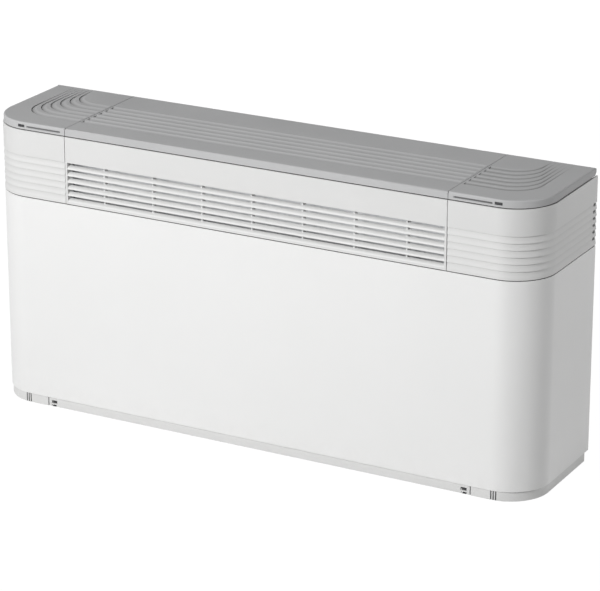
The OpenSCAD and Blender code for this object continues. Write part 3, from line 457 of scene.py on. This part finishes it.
# %% Bare metals
LINE_DEPTH = 0.00003
plain_finish("bright_steel", drawn, 900, ((0.66, 0.665, 0.68), (0.56, 0.565, 0.58)),
             rough=(0.2, 0.36), depth=LINE_DEPTH, metallic=1.0)
plain_finish("aluminium_sheet", drawn, 700, ((0.80, 0.81, 0.82), (0.72, 0.73, 0.745)),
             rough=(0.3, 0.44), depth=LINE_DEPTH, metallic=1.0)
plain_finish("matt_aluminium", drawn, 500, ((0.78, 0.79, 0.80), (0.72, 0.73, 0.74)),
             rough=(0.62, 0.74), depth=0.00004, metallic=1.0)
plain_finish("copper_tube", drawn, 700, ((0.82, 0.46, 0.31), (0.55, 0.29, 0.19)),
             rough=(0.24, 0.46), depth=LINE_DEPTH, metallic=1.0)
plain_finish("brass_fitting", drawn, 800, ((0.80, 0.62, 0.30), (0.66, 0.50, 0.24)),
             rough=(0.22, 0.4), depth=LINE_DEPTH, metallic=1.0)

# %% Galvanised sheet
ZINC_LIGHT, ZINC_DARK, ZINC_DEPTH = (0.60, 0.615, 0.63), (0.515, 0.53, 0.55), 0.00003
ZINC_SPREAD, ZINC_ROUGH = 0.14, (0.34, 0.5)
tree, shader = new_finish("galvanised_sheet", metallic=1.0)
zinc = use_effect(tree, spangle)
shine = use_effect(tree, handling, Scale=14.0)
colour = two_tone(tree, zinc["Tone"], ZINC_LIGHT, ZINC_DARK)
tree.links.new(colour, shader.inputs["Base Color"])
both = tree.nodes.new("ShaderNodeMath")
both.operation = "MULTIPLY_ADD"
both.inputs[1].default_value = ZINC_SPREAD
tree.links.new(zinc["Tone"], both.inputs[0])
tree.links.new(remap(tree, shine["Shine"], 0.0, 1.0, *ZINC_ROUGH), both.inputs[2])
tree.links.new(both.outputs[0], shader.inputs["Roughness"])
bump(tree, shader, zinc["Height"], ZINC_DEPTH)
print("finish galvanised_sheet")

# %% [markdown]
# The filter is a woven net. Its threads could be modelled one by one, but there are many
# thousands, so the weave is a pattern: stripes in two directions are the threads. The larger of
# the two values is the Alpha, so holes stay between the threads, and it is the bump as well.

# %% Filter net
MESH_PITCH, THREAD_EDGE, THREAD_DEPTH = 0.0016, (0.16, 0.3), 0.0003
FABRIC_DARK, FABRIC_LIGHT, FABRIC_ROUGH = (0.10, 0.105, 0.11), (0.16, 0.165, 0.17), 0.62
tree, shader = new_finish("filter_fabric")
apart = tree.nodes.new("ShaderNodeSeparateXYZ")
tree.links.new(tree.nodes.new("ShaderNodeTexCoord").outputs["Object"], apart.inputs[0])
threads = []
for axis in ("X", "Y"):
    wave = tree.nodes.new("ShaderNodeMath")
    wave.operation = "PINGPONG"
    wave.inputs[1].default_value = 0.5
    tree.links.new(scaled(tree, apart.outputs[axis], 1 / MESH_PITCH), wave.inputs[0])
    threads.append(remap(tree, wave.outputs[0], *THREAD_EDGE, 1.0, 0.0))
cover = tree.nodes.new("ShaderNodeMath")
cover.operation = "MAXIMUM"
for index in (0, 1):
    tree.links.new(threads[index], cover.inputs[index])
tree.links.new(cover.outputs[0], shader.inputs["Alpha"])
worn = use_effect(tree, handling)["Shine"]
tree.links.new(two_tone(tree, worn, FABRIC_DARK, FABRIC_LIGHT), shader.inputs["Base Color"])
shader.inputs["Roughness"].default_value = FABRIC_ROUGH
bump(tree, shader, cover.outputs[0], THREAD_DEPTH)
print("finish filter_fabric")

# %% [markdown]
# The record names a finish for each node. The diverter is aluminium too, but a matt one, because a
# bright sheet behind the louvres would mirror the lamps.

# %% Put the finishes on the frame
slot_of = {row["node"]: row["material_slot"] for row in frame["record"]["subparts"]}
for node, piece in frame["nodes"].items():
    for holder in piece.material_slots:
        holder.material = finishes[slot_of[node]]
for holder in frame["nodes"]["air_diverter"].material_slots:
    holder.material = finishes["matt_aluminium"]
print("finished nodes:", len(slot_of))

# %% [markdown]
# ## Softened shells
# No moulding or folded sheet has knife edges: a small radius catches a line of light on every
# edge. The solids of the frame are left as they are. Each shell is copied, its loose triangles are
# merged, and a Bevel modifier rounds every edge that turns by more than a set angle. Joining the
# flat triangles into large faces first would be tidier, but a face round a window fills wrongly.
# A Weighted Normal modifier then keeps the large faces flat, so only the edges look round. Points
# that the rounding pushed past the solid's own box by a hair are set back onto it.

# %% Helper for a softened copy
SAME_POINT, FLAT_ANGLE, SMOOTH_ANGLE = 0.000002, math.radians(0.2), math.radians(50)
ROUND_STEPS, CROWN_STEPS = 2, 10
body_of = {n: b for b, members in frame["record"]["behaviour"]["bodies"].items() for n in members}


def pick(piece):
    bpy.ops.object.select_all(action="DESELECT")
    piece.select_set(True)
    bpy.context.view_layer.objects.active = piece


def crown_edges(shell, brim):
    count = 0
    for edge in shell.data.edges:
        ends = [shell.data.vertices[i].co for i in edge.vertices]
        edge.select = all(brim(end) for end in ends)
        count += edge.select
    return count


def softened(node, radius, sharp=13, brim=None, crown=0.0, slot=None, slide=False):
    pick(frame["nodes"][node])
    bpy.ops.object.duplicate()
    shell = bpy.context.object
    shell.name = node + "_soft"
    del shell["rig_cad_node"]
    bpy.ops.object.parent_clear(type="CLEAR_KEEP_TRANSFORM")
    bpy.ops.object.mode_set(mode="EDIT")
    bpy.ops.mesh.select_all(action="SELECT")
    bpy.ops.mesh.remove_doubles(threshold=SAME_POINT)
    bpy.ops.mesh.beautify_fill(angle_limit=FLAT_ANGLE)
    bpy.ops.mesh.select_mode(type="EDGE")
    bpy.ops.mesh.select_all(action="DESELECT")
    bpy.ops.object.mode_set(mode="OBJECT")
    bpy.ops.mesh.customdata_custom_splitnormals_clear()
    if brim:
        print("brim edges", crown_edges(shell, brim))
        bpy.ops.object.mode_set(mode="EDIT")
        bpy.ops.mesh.bevel(offset=crown, segments=CROWN_STEPS, profile=0.5, clamp_overlap=False,
                           affect="EDGES")
        bpy.ops.object.mode_set(mode="OBJECT")
    edge = shell.modifiers.new("edge", "BEVEL")
    edge.width = radius
    edge.segments = ROUND_STEPS
    edge.limit_method = "ANGLE"
    edge.angle_limit = math.radians(sharp)
    edge.use_clamp_overlap = True
    edge.face_strength_mode = "FSTR_ALL"
    edge.loop_slide = slide
    before = len(shell.data.polygons)
    bpy.ops.object.modifier_apply(modifier="edge")
    bpy.ops.object.shade_smooth_by_angle(angle=SMOOTH_ANGLE)
    flat = shell.modifiers.new("flat", "WEIGHTED_NORMAL")
    flat.mode = "FACE_AREA"
    flat.keep_sharp = True
    flat.use_face_influence = True
    bpy.ops.object.modifier_apply(modifier="flat")
    low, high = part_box(node)
    for point in shell.data.vertices:
        point.co = [min(max(value, a), b) for value, a, b in zip(point.co, low, high)]
    if slot:
        shell.material_slots[0].material = finishes[slot]
    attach(shell, body_of[node])
    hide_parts(node)
    print("softened", node, before, "->", len(shell.data.polygons), "faces")
    return shell


# %% Soften what is seen from outside
SHEET_EDGE, MOULD_EDGE = 0.0006, 0.0004
softened("front_panel", SHEET_EDGE, slide=True)
softened("front_grille", MOULD_EDGE, slide=True)
for node in ("left_plinth", "right_plinth", "filter_frame"):
    softened(node, MOULD_EDGE)

# %% [markdown]
# The end covers have six grooves round the corner. How deep each point lies in them is written on
# the mesh, so that the finish can paint a little shade into the bottom of the grooves. The depth is
# measured from the outline of the cabinet: two straight sides and a quarter circle.

# %% Soften the end covers and mark their grooves
HALF_W, FRONT_Y, CORNER_R = 0.490, -0.110, 0.070
CORNER_X, CORNER_Y = HALF_W - CORNER_R, FRONT_Y + CORNER_R
GROOVES_LOW, GROOVES_HIGH = 0.362, 0.432
RIM_DEPTH = 0.00015


def mark_hollows(shell, depth_of, most, full, weight):
    layer = shell.data.attributes.new("hollow", "FLOAT", "POINT")
    count = 0
    for point, mark in zip(shell.data.vertices, layer.data):
        depth = depth_of(abs(point.co.x), point.co.y, point.co.z)
        if RIM_DEPTH < depth < most:
            mark.value = weight * min(1.0, depth / full)
            count += 1
    print("marked", count, "points of", shell.name)


def cover_depth(x, y, z):
    if not GROOVES_LOW < z < GROOVES_HIGH:
        return 0.0
    if x > CORNER_X and y < CORNER_Y:
        return CORNER_R - math.hypot(x - CORNER_X, y - CORNER_Y)
    return y - FRONT_Y if x < CORNER_X else HALF_W - x


# The weight sets how dark the painted shade gets at the bottom of the grooves.
for node, weight in (("left_end_cover", 0.52), ("right_end_cover", 0.46)):
    shell = softened(node, MOULD_EDGE)
    mark_hollows(shell, cover_depth, most=0.0019, full=0.0014, weight=weight)

# %% [markdown]
# The grey lids and the middle of the top also have a rounder brim: their upper front and side edge
# is a radius of a few millimetres. It is bevelled by hand first, on the edges of that line only.
# Afterwards the depth of each point in its groove is written on the mesh for painted shade in the
# finish: on the right lid, where the camera sees only the upper part of each groove, with the full
# weight.

# %% Soften the lids and the middle of the top
LID_FRONT, LID_SIDE, LID_TOP, LID_R = -0.1085, 0.4885, 0.486, 0.0685
LID_EDGE, LID_CROWN, LID_SHARP = 0.0003, 0.0026, 10.5
FIELD_FRONT, FIELD_SIDE, FIELD_R = -0.098, 0.478, 0.06
NEAR, TOP_NEAR, ROUND_NEAR = 0.00005, 0.00002, 0.0001


def on_brim(point):
    x, y, z = abs(point.x), point.y, point.z
    if x > CORNER_X and y < CORNER_Y:
        outside = math.hypot(x - CORNER_X, y - CORNER_Y) > LID_R - ROUND_NEAR
    else:
        outside = y < LID_FRONT + NEAR or x > LID_SIDE - NEAR
    return outside and z > LID_TOP - TOP_NEAR


def lid_depth(x, y, z):
    rim = math.hypot(max(x - CORNER_X, 0), min(y - CORNER_Y, 0)) > FIELD_R
    return 0.0 if rim or y < FIELD_FRONT or x > FIELD_SIDE else LID_TOP - z


# The weights set how dark the painted shade gets in the grooves of each piece.
for node, weight in (("top_grille", 0.45), ("left_lid", 0.55), ("right_lid", 1.0)):
    shell = softened(node, LID_EDGE, sharp=LID_SHARP, brim=on_brim, crown=LID_CROWN)
    mark_hollows(shell, lid_depth, most=0.004, full=0.0012, weight=weight)

# %% [markdown]
# ## Shade strips in the joints
# Between the lids and the head, between the head and the steel panel, and under the panel, thin
# black strips sit in the joints as painted shade: from outside they are the dark lines of the
# joints.
# A curve with a bevel could make them, but the section is flat, so it is drawn as a small plane and
# swept by hand: extruded along a face, spun round the corner, extruded along the next.

# %% Helpers for swept strips
JOIN_POINT, BEND_STEPS, BREAK_ANGLE = 0.000005, 16, math.radians(40)


def section_plane(name, place, size, turn):
    bpy.ops.object.select_all(action="DESELECT")
    bpy.ops.mesh.primitive_plane_add(size=1, location=place, rotation=turn)
    strip = bpy.context.object
    strip.name = name
    strip.scale = (*size, 1)
    bpy.ops.object.transform_apply(location=True, rotation=True, scale=True)
    bpy.ops.object.mode_set(mode="EDIT")
    bpy.ops.mesh.select_all(action="SELECT")
    return strip


def pull(x, y, z):
    bpy.ops.mesh.extrude_region_move(TRANSFORM_OT_translate={"value": (x, y, z)})


def round_corner(side, turn):
    centre = (side * CORNER_X, CORNER_Y, 0)
    bpy.ops.mesh.spin(steps=BEND_STEPS, angle=math.radians(turn), center=centre, axis=(0, 0, 1))


def close_up(piece, slot, body, rounding, finish=None):
    bpy.ops.mesh.select_all(action="SELECT")
    bpy.ops.mesh.remove_doubles(threshold=JOIN_POINT)
    bpy.ops.mesh.normals_make_consistent(inside=False)
    bpy.ops.object.mode_set(mode="OBJECT")
    pick(piece)
    edge = piece.modifiers.new("edge", "BEVEL")
    edge.width = rounding
    edge.segments = ROUND_STEPS
    edge.limit_method = "ANGLE"
    edge.angle_limit = BREAK_ANGLE
    bpy.ops.object.modifier_apply(modifier="edge")
    bpy.ops.object.shade_smooth_by_angle(angle=SMOOTH_ANGLE)
    piece.data.materials.clear()
    piece.data.materials.append(finishes[finish or slot])
    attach(piece, body)
    print("made", piece.name, len(piece.data.polygons), "faces")


# %% Shade strips under the lids and under the middle of the top
SHADE_IN, SHADE_T, SHADE_Z, SHADE_H = 0.0021, 0.0019, 0.47252, 0.00125
SEAM_LID, SEAM_GRILLE, LID_SHADE_END, SHADE_ROUND = 0.3408, 0.3392, 0.0925, 0.0002
SHADE_MID_Y, SHADE_MID_Z = FRONT_Y + SHADE_IN + SHADE_T / 2, SHADE_Z + SHADE_H / 2
UPRIGHT_X = (0, math.radians(90), 0)


def front_shade_strip(name, start_x):
    return section_plane(name, (start_x, SHADE_MID_Y, SHADE_MID_Z), (SHADE_H, SHADE_T), UPRIGHT_X)


# Black strips in the lid joints: painted shade.
for name, side in (("right_lid_shade_strip", 1), ("left_lid_shade_strip", -1)):
    shade_strip = front_shade_strip(name, side * SEAM_LID)
    pull(side * (CORNER_X - SEAM_LID), 0, 0)
    round_corner(side, -90 * side)
    pull(0, LID_SHADE_END - CORNER_Y, 0)
    close_up(shade_strip, "mount_rubber", "cabinet", SHADE_ROUND)

# Black strip under the front of the middle of the top: painted shade.
shade_strip = front_shade_strip("top_grille_shade_strip", -SEAM_GRILLE)
pull(2 * SEAM_GRILLE, 0, 0)
close_up(shade_strip, "mount_rubber", "cabinet", SHADE_ROUND)

# %% Shade strips on the upper and under the lower edge of the steel panel
UPRIGHT_Y = (math.radians(90), 0, 0)


def round_shade_strip(name, inset, end_y, z, size, rounding):
    shade_strip = section_plane(name, (-HALF_W + inset, end_y, z), size, UPRIGHT_Y)
    pull(0, CORNER_Y - end_y, 0)
    round_corner(-1, -90)
    pull(2 * CORNER_X, 0, 0)
    round_corner(1, -90)
    pull(0, end_y - CORNER_Y, 0)
    close_up(shade_strip, "mount_rubber", "cabinet", rounding)


# Black strips above and below the steel panel: painted shade.
round_shade_strip("panel_shade_strip", 0.0017, 0.106, 0.35978, (0.0007, 0.0014), 0.0001)
round_shade_strip("base_shade_strip", 0.00187, 0.099, 0.01571, (0.00036, 0.00052), 0.00005)

# %% [markdown]
# ## Finger slots and grip pads
# A lid is lifted at a slot in its front edge. The back of the slot is lined with a dark strip as
# painted shade, and a small ribbed pad beside it shows where to lift. The strip is a bar with round
# ends. The pad has to follow the start of the round corner, so a subdivided plane is shrunk onto
# the lid, its ribs are extruded, and a Solidify modifier gives it its thickness.

# %% Line the finger slots with painted shade
def block(name, low, high):
    bpy.ops.object.select_all(action="DESELECT")
    middle = [(a + b) / 2 for a, b in zip(low, high)]
    bpy.ops.mesh.primitive_cube_add(size=1, location=middle)
    piece = bpy.context.object
    piece.name = name
    piece.scale = [b - a for a, b in zip(low, high)]
    bpy.ops.object.transform_apply(location=True, rotation=True, scale=True)
    bpy.ops.object.mode_set(mode="EDIT")
    bpy.ops.mesh.select_mode(type="EDGE")
    bpy.ops.mesh.select_all(action="DESELECT")
    bpy.ops.object.mode_set(mode="OBJECT")
    return piece


def pick_edges(piece, wanted):
    points = piece.data.vertices
    for edge in piece.data.edges:
        edge.select = wanted(*(points[i].co for i in edge.vertices))
    bpy.ops.object.mode_set(mode="EDIT")


STRIP_X, STRIP_Y, STRIP_Z = (0.3496, 0.4126), (-0.10705, -0.10668), (0.47745, 0.48015)
STRIP_END_R, STRIP_ROUND = 0.0012, 0.00004

for lid, side in (("right_lid", 1), ("left_lid", -1)):
    low_x, high_x = sorted(side * x for x in STRIP_X)
    name = lid.replace("lid", "finger_shade_strip")
    strip = block(name, (low_x, STRIP_Y[0], STRIP_Z[0]), (high_x, STRIP_Y[1], STRIP_Z[1]))
    pick_edges(strip, lambda a, b: abs(a.y - b.y) > 0.0002)
    bpy.ops.mesh.bevel(offset=STRIP_END_R, segments=5, affect="EDGES")
    close_up(strip, "grey_plastic", lid, STRIP_ROUND, "shaded_grey")

# %% Put a grip pad on each lid
PAD_COLS, PAD_W, PAD_H, PAD_Z = 13, 0.0125, 0.0045, 0.4795
PAD_X, PAD_Y, PAD_OFF, RIB_H, PAD_T, PAD_ROUND = 0.4230, -0.1096, 0.0002, 0.00035, 0.0004, 0.00006


def grip_pad(name, centre_x, lid, body):
    bpy.ops.object.select_all(action="DESELECT")
    bpy.ops.mesh.primitive_plane_add(size=1, location=(centre_x, PAD_Y, PAD_Z), rotation=UPRIGHT_Y)
    pad = bpy.context.object
    pad.name = name
    pad.scale = (PAD_W, PAD_H, 1)
    bpy.ops.object.transform_apply(location=True, rotation=True, scale=True)
    bpy.ops.object.mode_set(mode="EDIT")
    bpy.ops.mesh.select_all(action="SELECT")
    bpy.ops.mesh.subdivide(number_cuts=PAD_COLS - 1)
    bpy.ops.object.mode_set(mode="OBJECT")
    wrap = pad.modifiers.new("wrap", "SHRINKWRAP")
    wrap.target = lid
    wrap.wrap_method = "PROJECT"
    wrap.use_project_y = True
    wrap.use_positive_direction = True
    wrap.offset = PAD_OFF
    bpy.ops.object.modifier_apply(modifier="wrap")
    bpy.ops.object.mode_set(mode="EDIT")
    bpy.ops.mesh.select_mode(type="FACE")
    bpy.ops.mesh.select_all(action="DESELECT")
    bpy.ops.object.mode_set(mode="OBJECT")
    for face in pad.data.polygons:
        col = int((face.center.x - centre_x + PAD_W / 2) / PAD_W * PAD_COLS)
        row = int((face.center.z - PAD_Z + PAD_H / 2) / PAD_H * PAD_COLS)
        face.select = col % 3 != 0 and 1 < row < PAD_COLS - 2
    bpy.ops.object.mode_set(mode="EDIT")
    pull(0, -RIB_H, 0)
    bpy.ops.object.mode_set(mode="OBJECT")
    wall = pad.modifiers.new("wall", "SOLIDIFY")
    wall.thickness = PAD_T
    wall.offset = -1.0
    bpy.ops.object.modifier_apply(modifier="wall")
    bpy.ops.object.mode_set(mode="EDIT")
    close_up(pad, "black_plastic", body, PAD_ROUND)


grip_pad("right_grip_pad", PAD_X, bpy.data.objects["right_lid_soft"], "right_lid")
grip_pad("left_grip_pad", -PAD_X, bpy.data.objects["left_lid_soft"], "left_lid")

# %% [markdown]
# ## Screws
# The end covers and the terminal cover are held by pan-head screws with a cross recess. One screw
# is modelled and copied to every place: a cylinder whose upper rim is bevelled into a dome, a shank
# pulled out of its underside, and a cross cut into it by a Boolean modifier. A knife cut would do
# as well, but the Boolean keeps the cross exact.

# %% Model one screw
HEAD_R, HEAD_H, HEAD_DOME, SHOULDER, SHANK_L = 0.004, 0.0022, 0.0013, 0.002, 0.008
CROSS_W, CROSS_L, CROSS_LOW, CROSS_HIGH = 0.0009, 0.0038, 0.0008, 0.003
HEAD_SIDES, SCREW_SMOOTH, FACING = 32, math.radians(35), 0.9


def one_screw(name):
    bpy.ops.object.select_all(action="DESELECT")
    bpy.ops.mesh.primitive_cylinder_add(vertices=HEAD_SIDES, radius=HEAD_R, depth=HEAD_H,
                                        location=(0, 0, HEAD_H / 2))
    screw = bpy.context.object
    screw.name = name
    bpy.ops.object.transform_apply(location=True, rotation=True, scale=True)
    bpy.ops.object.mode_set(mode="EDIT")
    bpy.ops.mesh.select_mode(type="FACE")
    bpy.ops.mesh.select_all(action="DESELECT")
    bpy.ops.object.mode_set(mode="OBJECT")
    for face in screw.data.polygons:
        face.select = face.normal.z < -FACING
    bpy.ops.object.mode_set(mode="EDIT")
    bpy.ops.mesh.inset(thickness=SHOULDER)
    pull(0, 0, -SHANK_L)
    bpy.ops.mesh.select_mode(type="EDGE")
    bpy.ops.mesh.select_all(action="DESELECT")
    bpy.ops.object.mode_set(mode="OBJECT")
    pick_edges(screw, lambda a, b: min(a.z, b.z) > HEAD_H - 0.0001)
    bpy.ops.mesh.bevel(offset=HEAD_DOME, segments=5, affect="EDGES")
    bpy.ops.object.mode_set(mode="OBJECT")
    for width, length in ((CROSS_W, CROSS_L), (CROSS_L, CROSS_W)):
        low = (-width / 2, -length / 2, CROSS_LOW)
        cutter = block("cross_cutter", low, (width / 2, length / 2, CROSS_HIGH))
        cut = screw.modifiers.new("cut", "BOOLEAN")
        cut.operation = "DIFFERENCE"
        cut.object = cutter
        pick(screw)
        bpy.ops.object.modifier_apply(modifier="cut")
        bpy.data.objects.remove(cutter)
    bpy.ops.object.shade_smooth_by_angle(angle=SCREW_SMOOTH)
    screw.data.materials.append(finishes["bright_steel"])
    return screw


def set_screws(name, first, places, turn=(0, 0, 0)):
    copies = []
    for place in places:
        pick(first)
        bpy.ops.object.duplicate()
        copy = bpy.context.object
        copy.rotation_euler = turn
        copy.location = place
        bpy.ops.object.transform_apply(location=True, rotation=True, scale=True)
        copies.append(copy)
    pick(copies[0])
    for copy in copies[1:]:
        copy.select_set(True)
    bpy.ops.object.join()
    group = bpy.context.object
    group.name = name
    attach(group, "cabinet")
    print("made", name, len(group.data.polygons), "faces")
    return group


# %% Set the screws in the end covers and in the terminal cover
BAY_FLOOR_Z, BOX_FACE_X = 0.4575, 0.4195
floor_places = [(x, y, BAY_FLOOR_Z) for x in (-0.369, 0.369) for y in (-0.055, 0.055)]
box_places = [(BOX_FACE_X, y, z) for y in (-0.0225, 0.0525) for z in (0.2175, 0.3125)]

screw = one_screw("pattern_screw")
heads = set_screws("cover_screws_crossed", screw, floor_places)
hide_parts("cover_screws")
set_screws("terminal_cover_screws", screw, box_places, UPRIGHT_X)
bpy.data.objects.remove(screw)

# %% [markdown]
# ## Knobs and dial marks
# Under the right lid are two knobs. Each is a disc with a fluted rim, a dished face and a grip bar
# with a pale pointer line. The face is dished first, while the rim is still round; then every third
# edge of the rim is drawn in to make the flutes. The other way round, the inset would fold at each
# flute. The marks round the knobs are bars that grow with the heat, and squares that grow with the
# speed.

# %% Model the knobs
KNOB_Z, PLATE_Z, KNOB_R, DISC_H = 0.4608, 0.4605, 0.014, 0.0045
RIM_W, DISH_W, DISH_DEPTH, KNOB_ROUND = 0.0016, 0.0008, 0.0008, 0.0002
RIM_SIDES, FLUTE_EVERY, FLUTE_SCALE = 72, 3, (0.955, 0.955, 1)
GRIP_W, GRIP_L, GRIP_LOW, GRIP_HIGH, GRIP_R = 0.005, 0.0246, 0.001, 0.0085, 0.0011
LINE_W, LINE_Y, LINE_Z, LINE_ROUND = 0.001, (-0.0105, -0.0035), (0.0083, 0.00862), 0.00004
HEAT_X, SPEED_X = 0.410, 0.456


def knob(name, x, body, node):
    bpy.ops.object.select_all(action="DESELECT")
    bpy.ops.mesh.primitive_cylinder_add(vertices=RIM_SIDES, radius=KNOB_R, depth=DISC_H,
                                        location=(x, 0, KNOB_Z + DISC_H / 2))
    disc = bpy.context.object
    disc.name = name
    bpy.ops.object.transform_apply(location=True, rotation=True, scale=True)
    bpy.ops.object.mode_set(mode="EDIT")
    bpy.ops.mesh.select_mode(type="FACE")
    bpy.ops.mesh.select_all(action="DESELECT")
    bpy.ops.object.mode_set(mode="OBJECT")
    for face in disc.data.polygons:
        face.select = face.normal.z > FACING
    bpy.ops.object.mode_set(mode="EDIT")
    bpy.ops.mesh.inset(thickness=RIM_W)
    bpy.ops.mesh.inset(thickness=DISH_W, depth=-DISH_DEPTH)
    bpy.ops.mesh.select_mode(type="VERT")
    bpy.ops.mesh.select_all(action="DESELECT")
    bpy.ops.object.mode_set(mode="OBJECT")
    for point in disc.data.vertices:
        across, along = point.co.x - x, point.co.y
        step = round(math.atan2(along, across) / math.tau * RIM_SIDES)
        on_rim = math.hypot(across, along) > KNOB_R - RIM_W / 2
        point.select = on_rim and step % FLUTE_EVERY == 0
    bpy.ops.object.mode_set(mode="EDIT")
    bpy.ops.transform.resize(value=FLUTE_SCALE, center_override=(x, 0, KNOB_Z))
    bpy.ops.object.mode_set(mode="OBJECT")
    grip = block("grip", (x - GRIP_W / 2, -GRIP_L / 2, KNOB_Z + GRIP_LOW),
                 (x + GRIP_W / 2, GRIP_L / 2, KNOB_Z + GRIP_HIGH))
    grip_top = KNOB_Z + GRIP_HIGH - 0.0005
    pick_edges(grip, lambda a, b: min(a.z, b.z) > grip_top or abs(a.z - b.z) > 0.001)
    bpy.ops.mesh.bevel(offset=GRIP_R, segments=4, affect="EDGES")
    bpy.ops.object.mode_set(mode="OBJECT")
    disc.select_set(True)
    bpy.context.view_layer.objects.active = disc
    bpy.ops.object.join()
    bpy.ops.object.mode_set(mode="EDIT")
    close_up(disc, "grey_plastic", body, KNOB_ROUND)
    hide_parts(node)
    line = block(name + "_pointer", (x - LINE_W / 2, LINE_Y[0], KNOB_Z + LINE_Z[0]),
                 (x + LINE_W / 2, LINE_Y[1], KNOB_Z + LINE_Z[1]))
    bpy.ops.object.mode_set(mode="EDIT")
    close_up(line, "white_plastic", body, LINE_ROUND)


knob("temperature_knob_fluted", HEAT_X, "temperature_knob", "temperature_knob")
knob("speed_knob_fluted", SPEED_X, "speed_knob", "speed_knob")

# %% Draw the dial marks
DIAL_R, MARK_ROUND = 0.0188, 0.00006
MARK_LOW, MARK_HIGH = PLATE_Z - 0.00005, PLATE_Z + 0.0002


def dial(name, x, angles, widths, lengths):
    marks = []
    for angle, width, length in zip(angles, widths, lengths):
        low = (-width / 2, -DIAL_R, MARK_LOW)
        mark = block(name, low, (width / 2, length - DIAL_R, MARK_HIGH))
        mark.rotation_euler = (0, 0, math.radians(angle))
        mark.location = (x, 0, 0)
        bpy.ops.object.transform_apply(location=True, rotation=True, scale=True)
        marks.append(mark)
    pick(marks[0])
    for mark in marks[1:]:
        mark.select_set(True)
    bpy.ops.object.join()
    bpy.ops.object.mode_set(mode="EDIT")
    close_up(bpy.context.object, "white_plastic", "cabinet", MARK_ROUND)


heat_angles = range(-135, 136, 27)
heat_widths = [0.0005 + 0.00008 * i for i in range(len(heat_angles))]
heat_lengths = [0.0022 + 0.0001 * i for i in range(len(heat_angles))]
dial("temperature_marks", HEAT_X, heat_angles, heat_widths, heat_lengths)
speed_sizes = (0.0012, 0.0017, 0.0022, 0.0027)
dial("speed_marks", SPEED_X, (-90, -30, 30, 90), speed_sizes, speed_sizes)

# %% [markdown]
# ## Other fittings
# The latches, the lever, the control plate, the terminal box, the brass fittings and the sheets at
# the back keep their shape, but their edges are broken like those of the shells.

# %% Soften the fittings
FINE_EDGE, BOX_EDGE, FITTING_SHARP = 0.0002, 0.0003, 30
for node in ("left_latch", "right_latch"):
    softened(node, FINE_EDGE, sharp=FITTING_SHARP, slot="black_plastic")
for node in ("control_plate", "diverter_lever", "terminal_box", "terminal_cover", "cable_gland"):
    softened(node, BOX_EDGE, sharp=FITTING_SHARP)
for node in ("water_sockets", "air_vent", "rear_panel", "cross_rails"):
    softened(node, FINE_EDGE, sharp=FITTING_SHARP)

# %% [markdown]
# ## Painted shade in the lines of the plinth
# The plinth has three upright grooves near each corner and a joint at each end of the filter
# strip. They are lined with dark bars as painted shade, so they read as lines from a distance. The
# bars are made alike; those in the joints are narrower.

# %% Line the plinth with painted shade
BAR_Z, BAR_EDGE, BAR_ROUND = (0.0005, 0.0153), 0.0001, 0.00003
LINE_X, LINE_HALF, LINE_DEEP = (0.4215, 0.4255, 0.4295), 0.00097, (-0.1072, -0.10658)
JOINT_X, JOINT_HALF, JOINT_DEEP = 0.3866, 0.00066, (-0.1066, -0.1052)


def plinth_bar(name, x, half, deep):
    bar = block(name, (x - half, deep[0], BAR_Z[0]), (x + half, deep[1], BAR_Z[1]))
    pick_edges(bar, lambda a, b: abs(a.z - b.z) > 0.001)
    bpy.ops.mesh.bevel(offset=BAR_EDGE, segments=ROUND_STEPS, affect="EDGES")
    close_up(bar, "black_plastic", "cabinet", BAR_ROUND)


for name, side in (("right", 1), ("left", -1)):
    for number, x in enumerate(LINE_X, start=1):
        plinth_bar(f"{name}_plinth_line_{number}", side * x, LINE_HALF, LINE_DEEP)
    plinth_bar(f"{name}_plinth_joint", side * JOINT_X, JOINT_HALF, JOINT_DEEP)

# %% [markdown]
# ## Pipe threads
# The two brass sockets on the left have half inch pipe threads. The solid only has the plain bore.
# A small triangle is stood at the wall of the bore, its tip to the middle, and a Screw modifier
# winds it in eight turns of 1.814 mm. It could also be a row of rings, but a thread has to climb.

# %% Wind a thread into each socket
BORE_R, RIDGE_R, ROOTED, PITCH, TURNS = 0.0095, 0.00063, 0.00005, 0.001814, 8
THREAD_IN, TURN_STEPS, THREAD_ROUND = 0.0009, 40, 0.00006
RIDGE_TURN = (math.radians(90), math.radians(-90), 0)
MOUTHS = {
    "water_in_thread": (-0.381, -0.032, 0.232718),
    "water_out_thread": (-0.381, 0.048, 0.371282),
}

for name, mouth in MOUTHS.items():
    bpy.ops.object.select_all(action="DESELECT")
    wall = (BORE_R + ROOTED - RIDGE_R / 2, 0, 0)
    bpy.ops.mesh.primitive_circle_add(vertices=3, radius=RIDGE_R, location=wall,
                                      rotation=RIDGE_TURN)
    ridge = bpy.context.object
    ridge.name = name
    bpy.ops.object.transform_apply(location=True, rotation=True, scale=True)
    wind = ridge.modifiers.new("wind", "SCREW")
    wind.axis = "Z"
    wind.screw_offset = PITCH
    wind.iterations = TURNS
    wind.steps = wind.render_steps = TURN_STEPS
    bpy.ops.object.modifier_apply(modifier="wind")
    ridge.rotation_euler = UPRIGHT_X
    ridge.location = (mouth[0] + THREAD_IN, mouth[1], mouth[2])
    bpy.ops.object.transform_apply(location=True, rotation=True, scale=True)
    bpy.ops.object.mode_set(mode="EDIT")
    bpy.ops.mesh.select_all(action="SELECT")
    bpy.ops.mesh.fill_holes(sides=3)
    close_up(ridge, slot_of["water_sockets"], "cabinet", THREAD_ROUND)
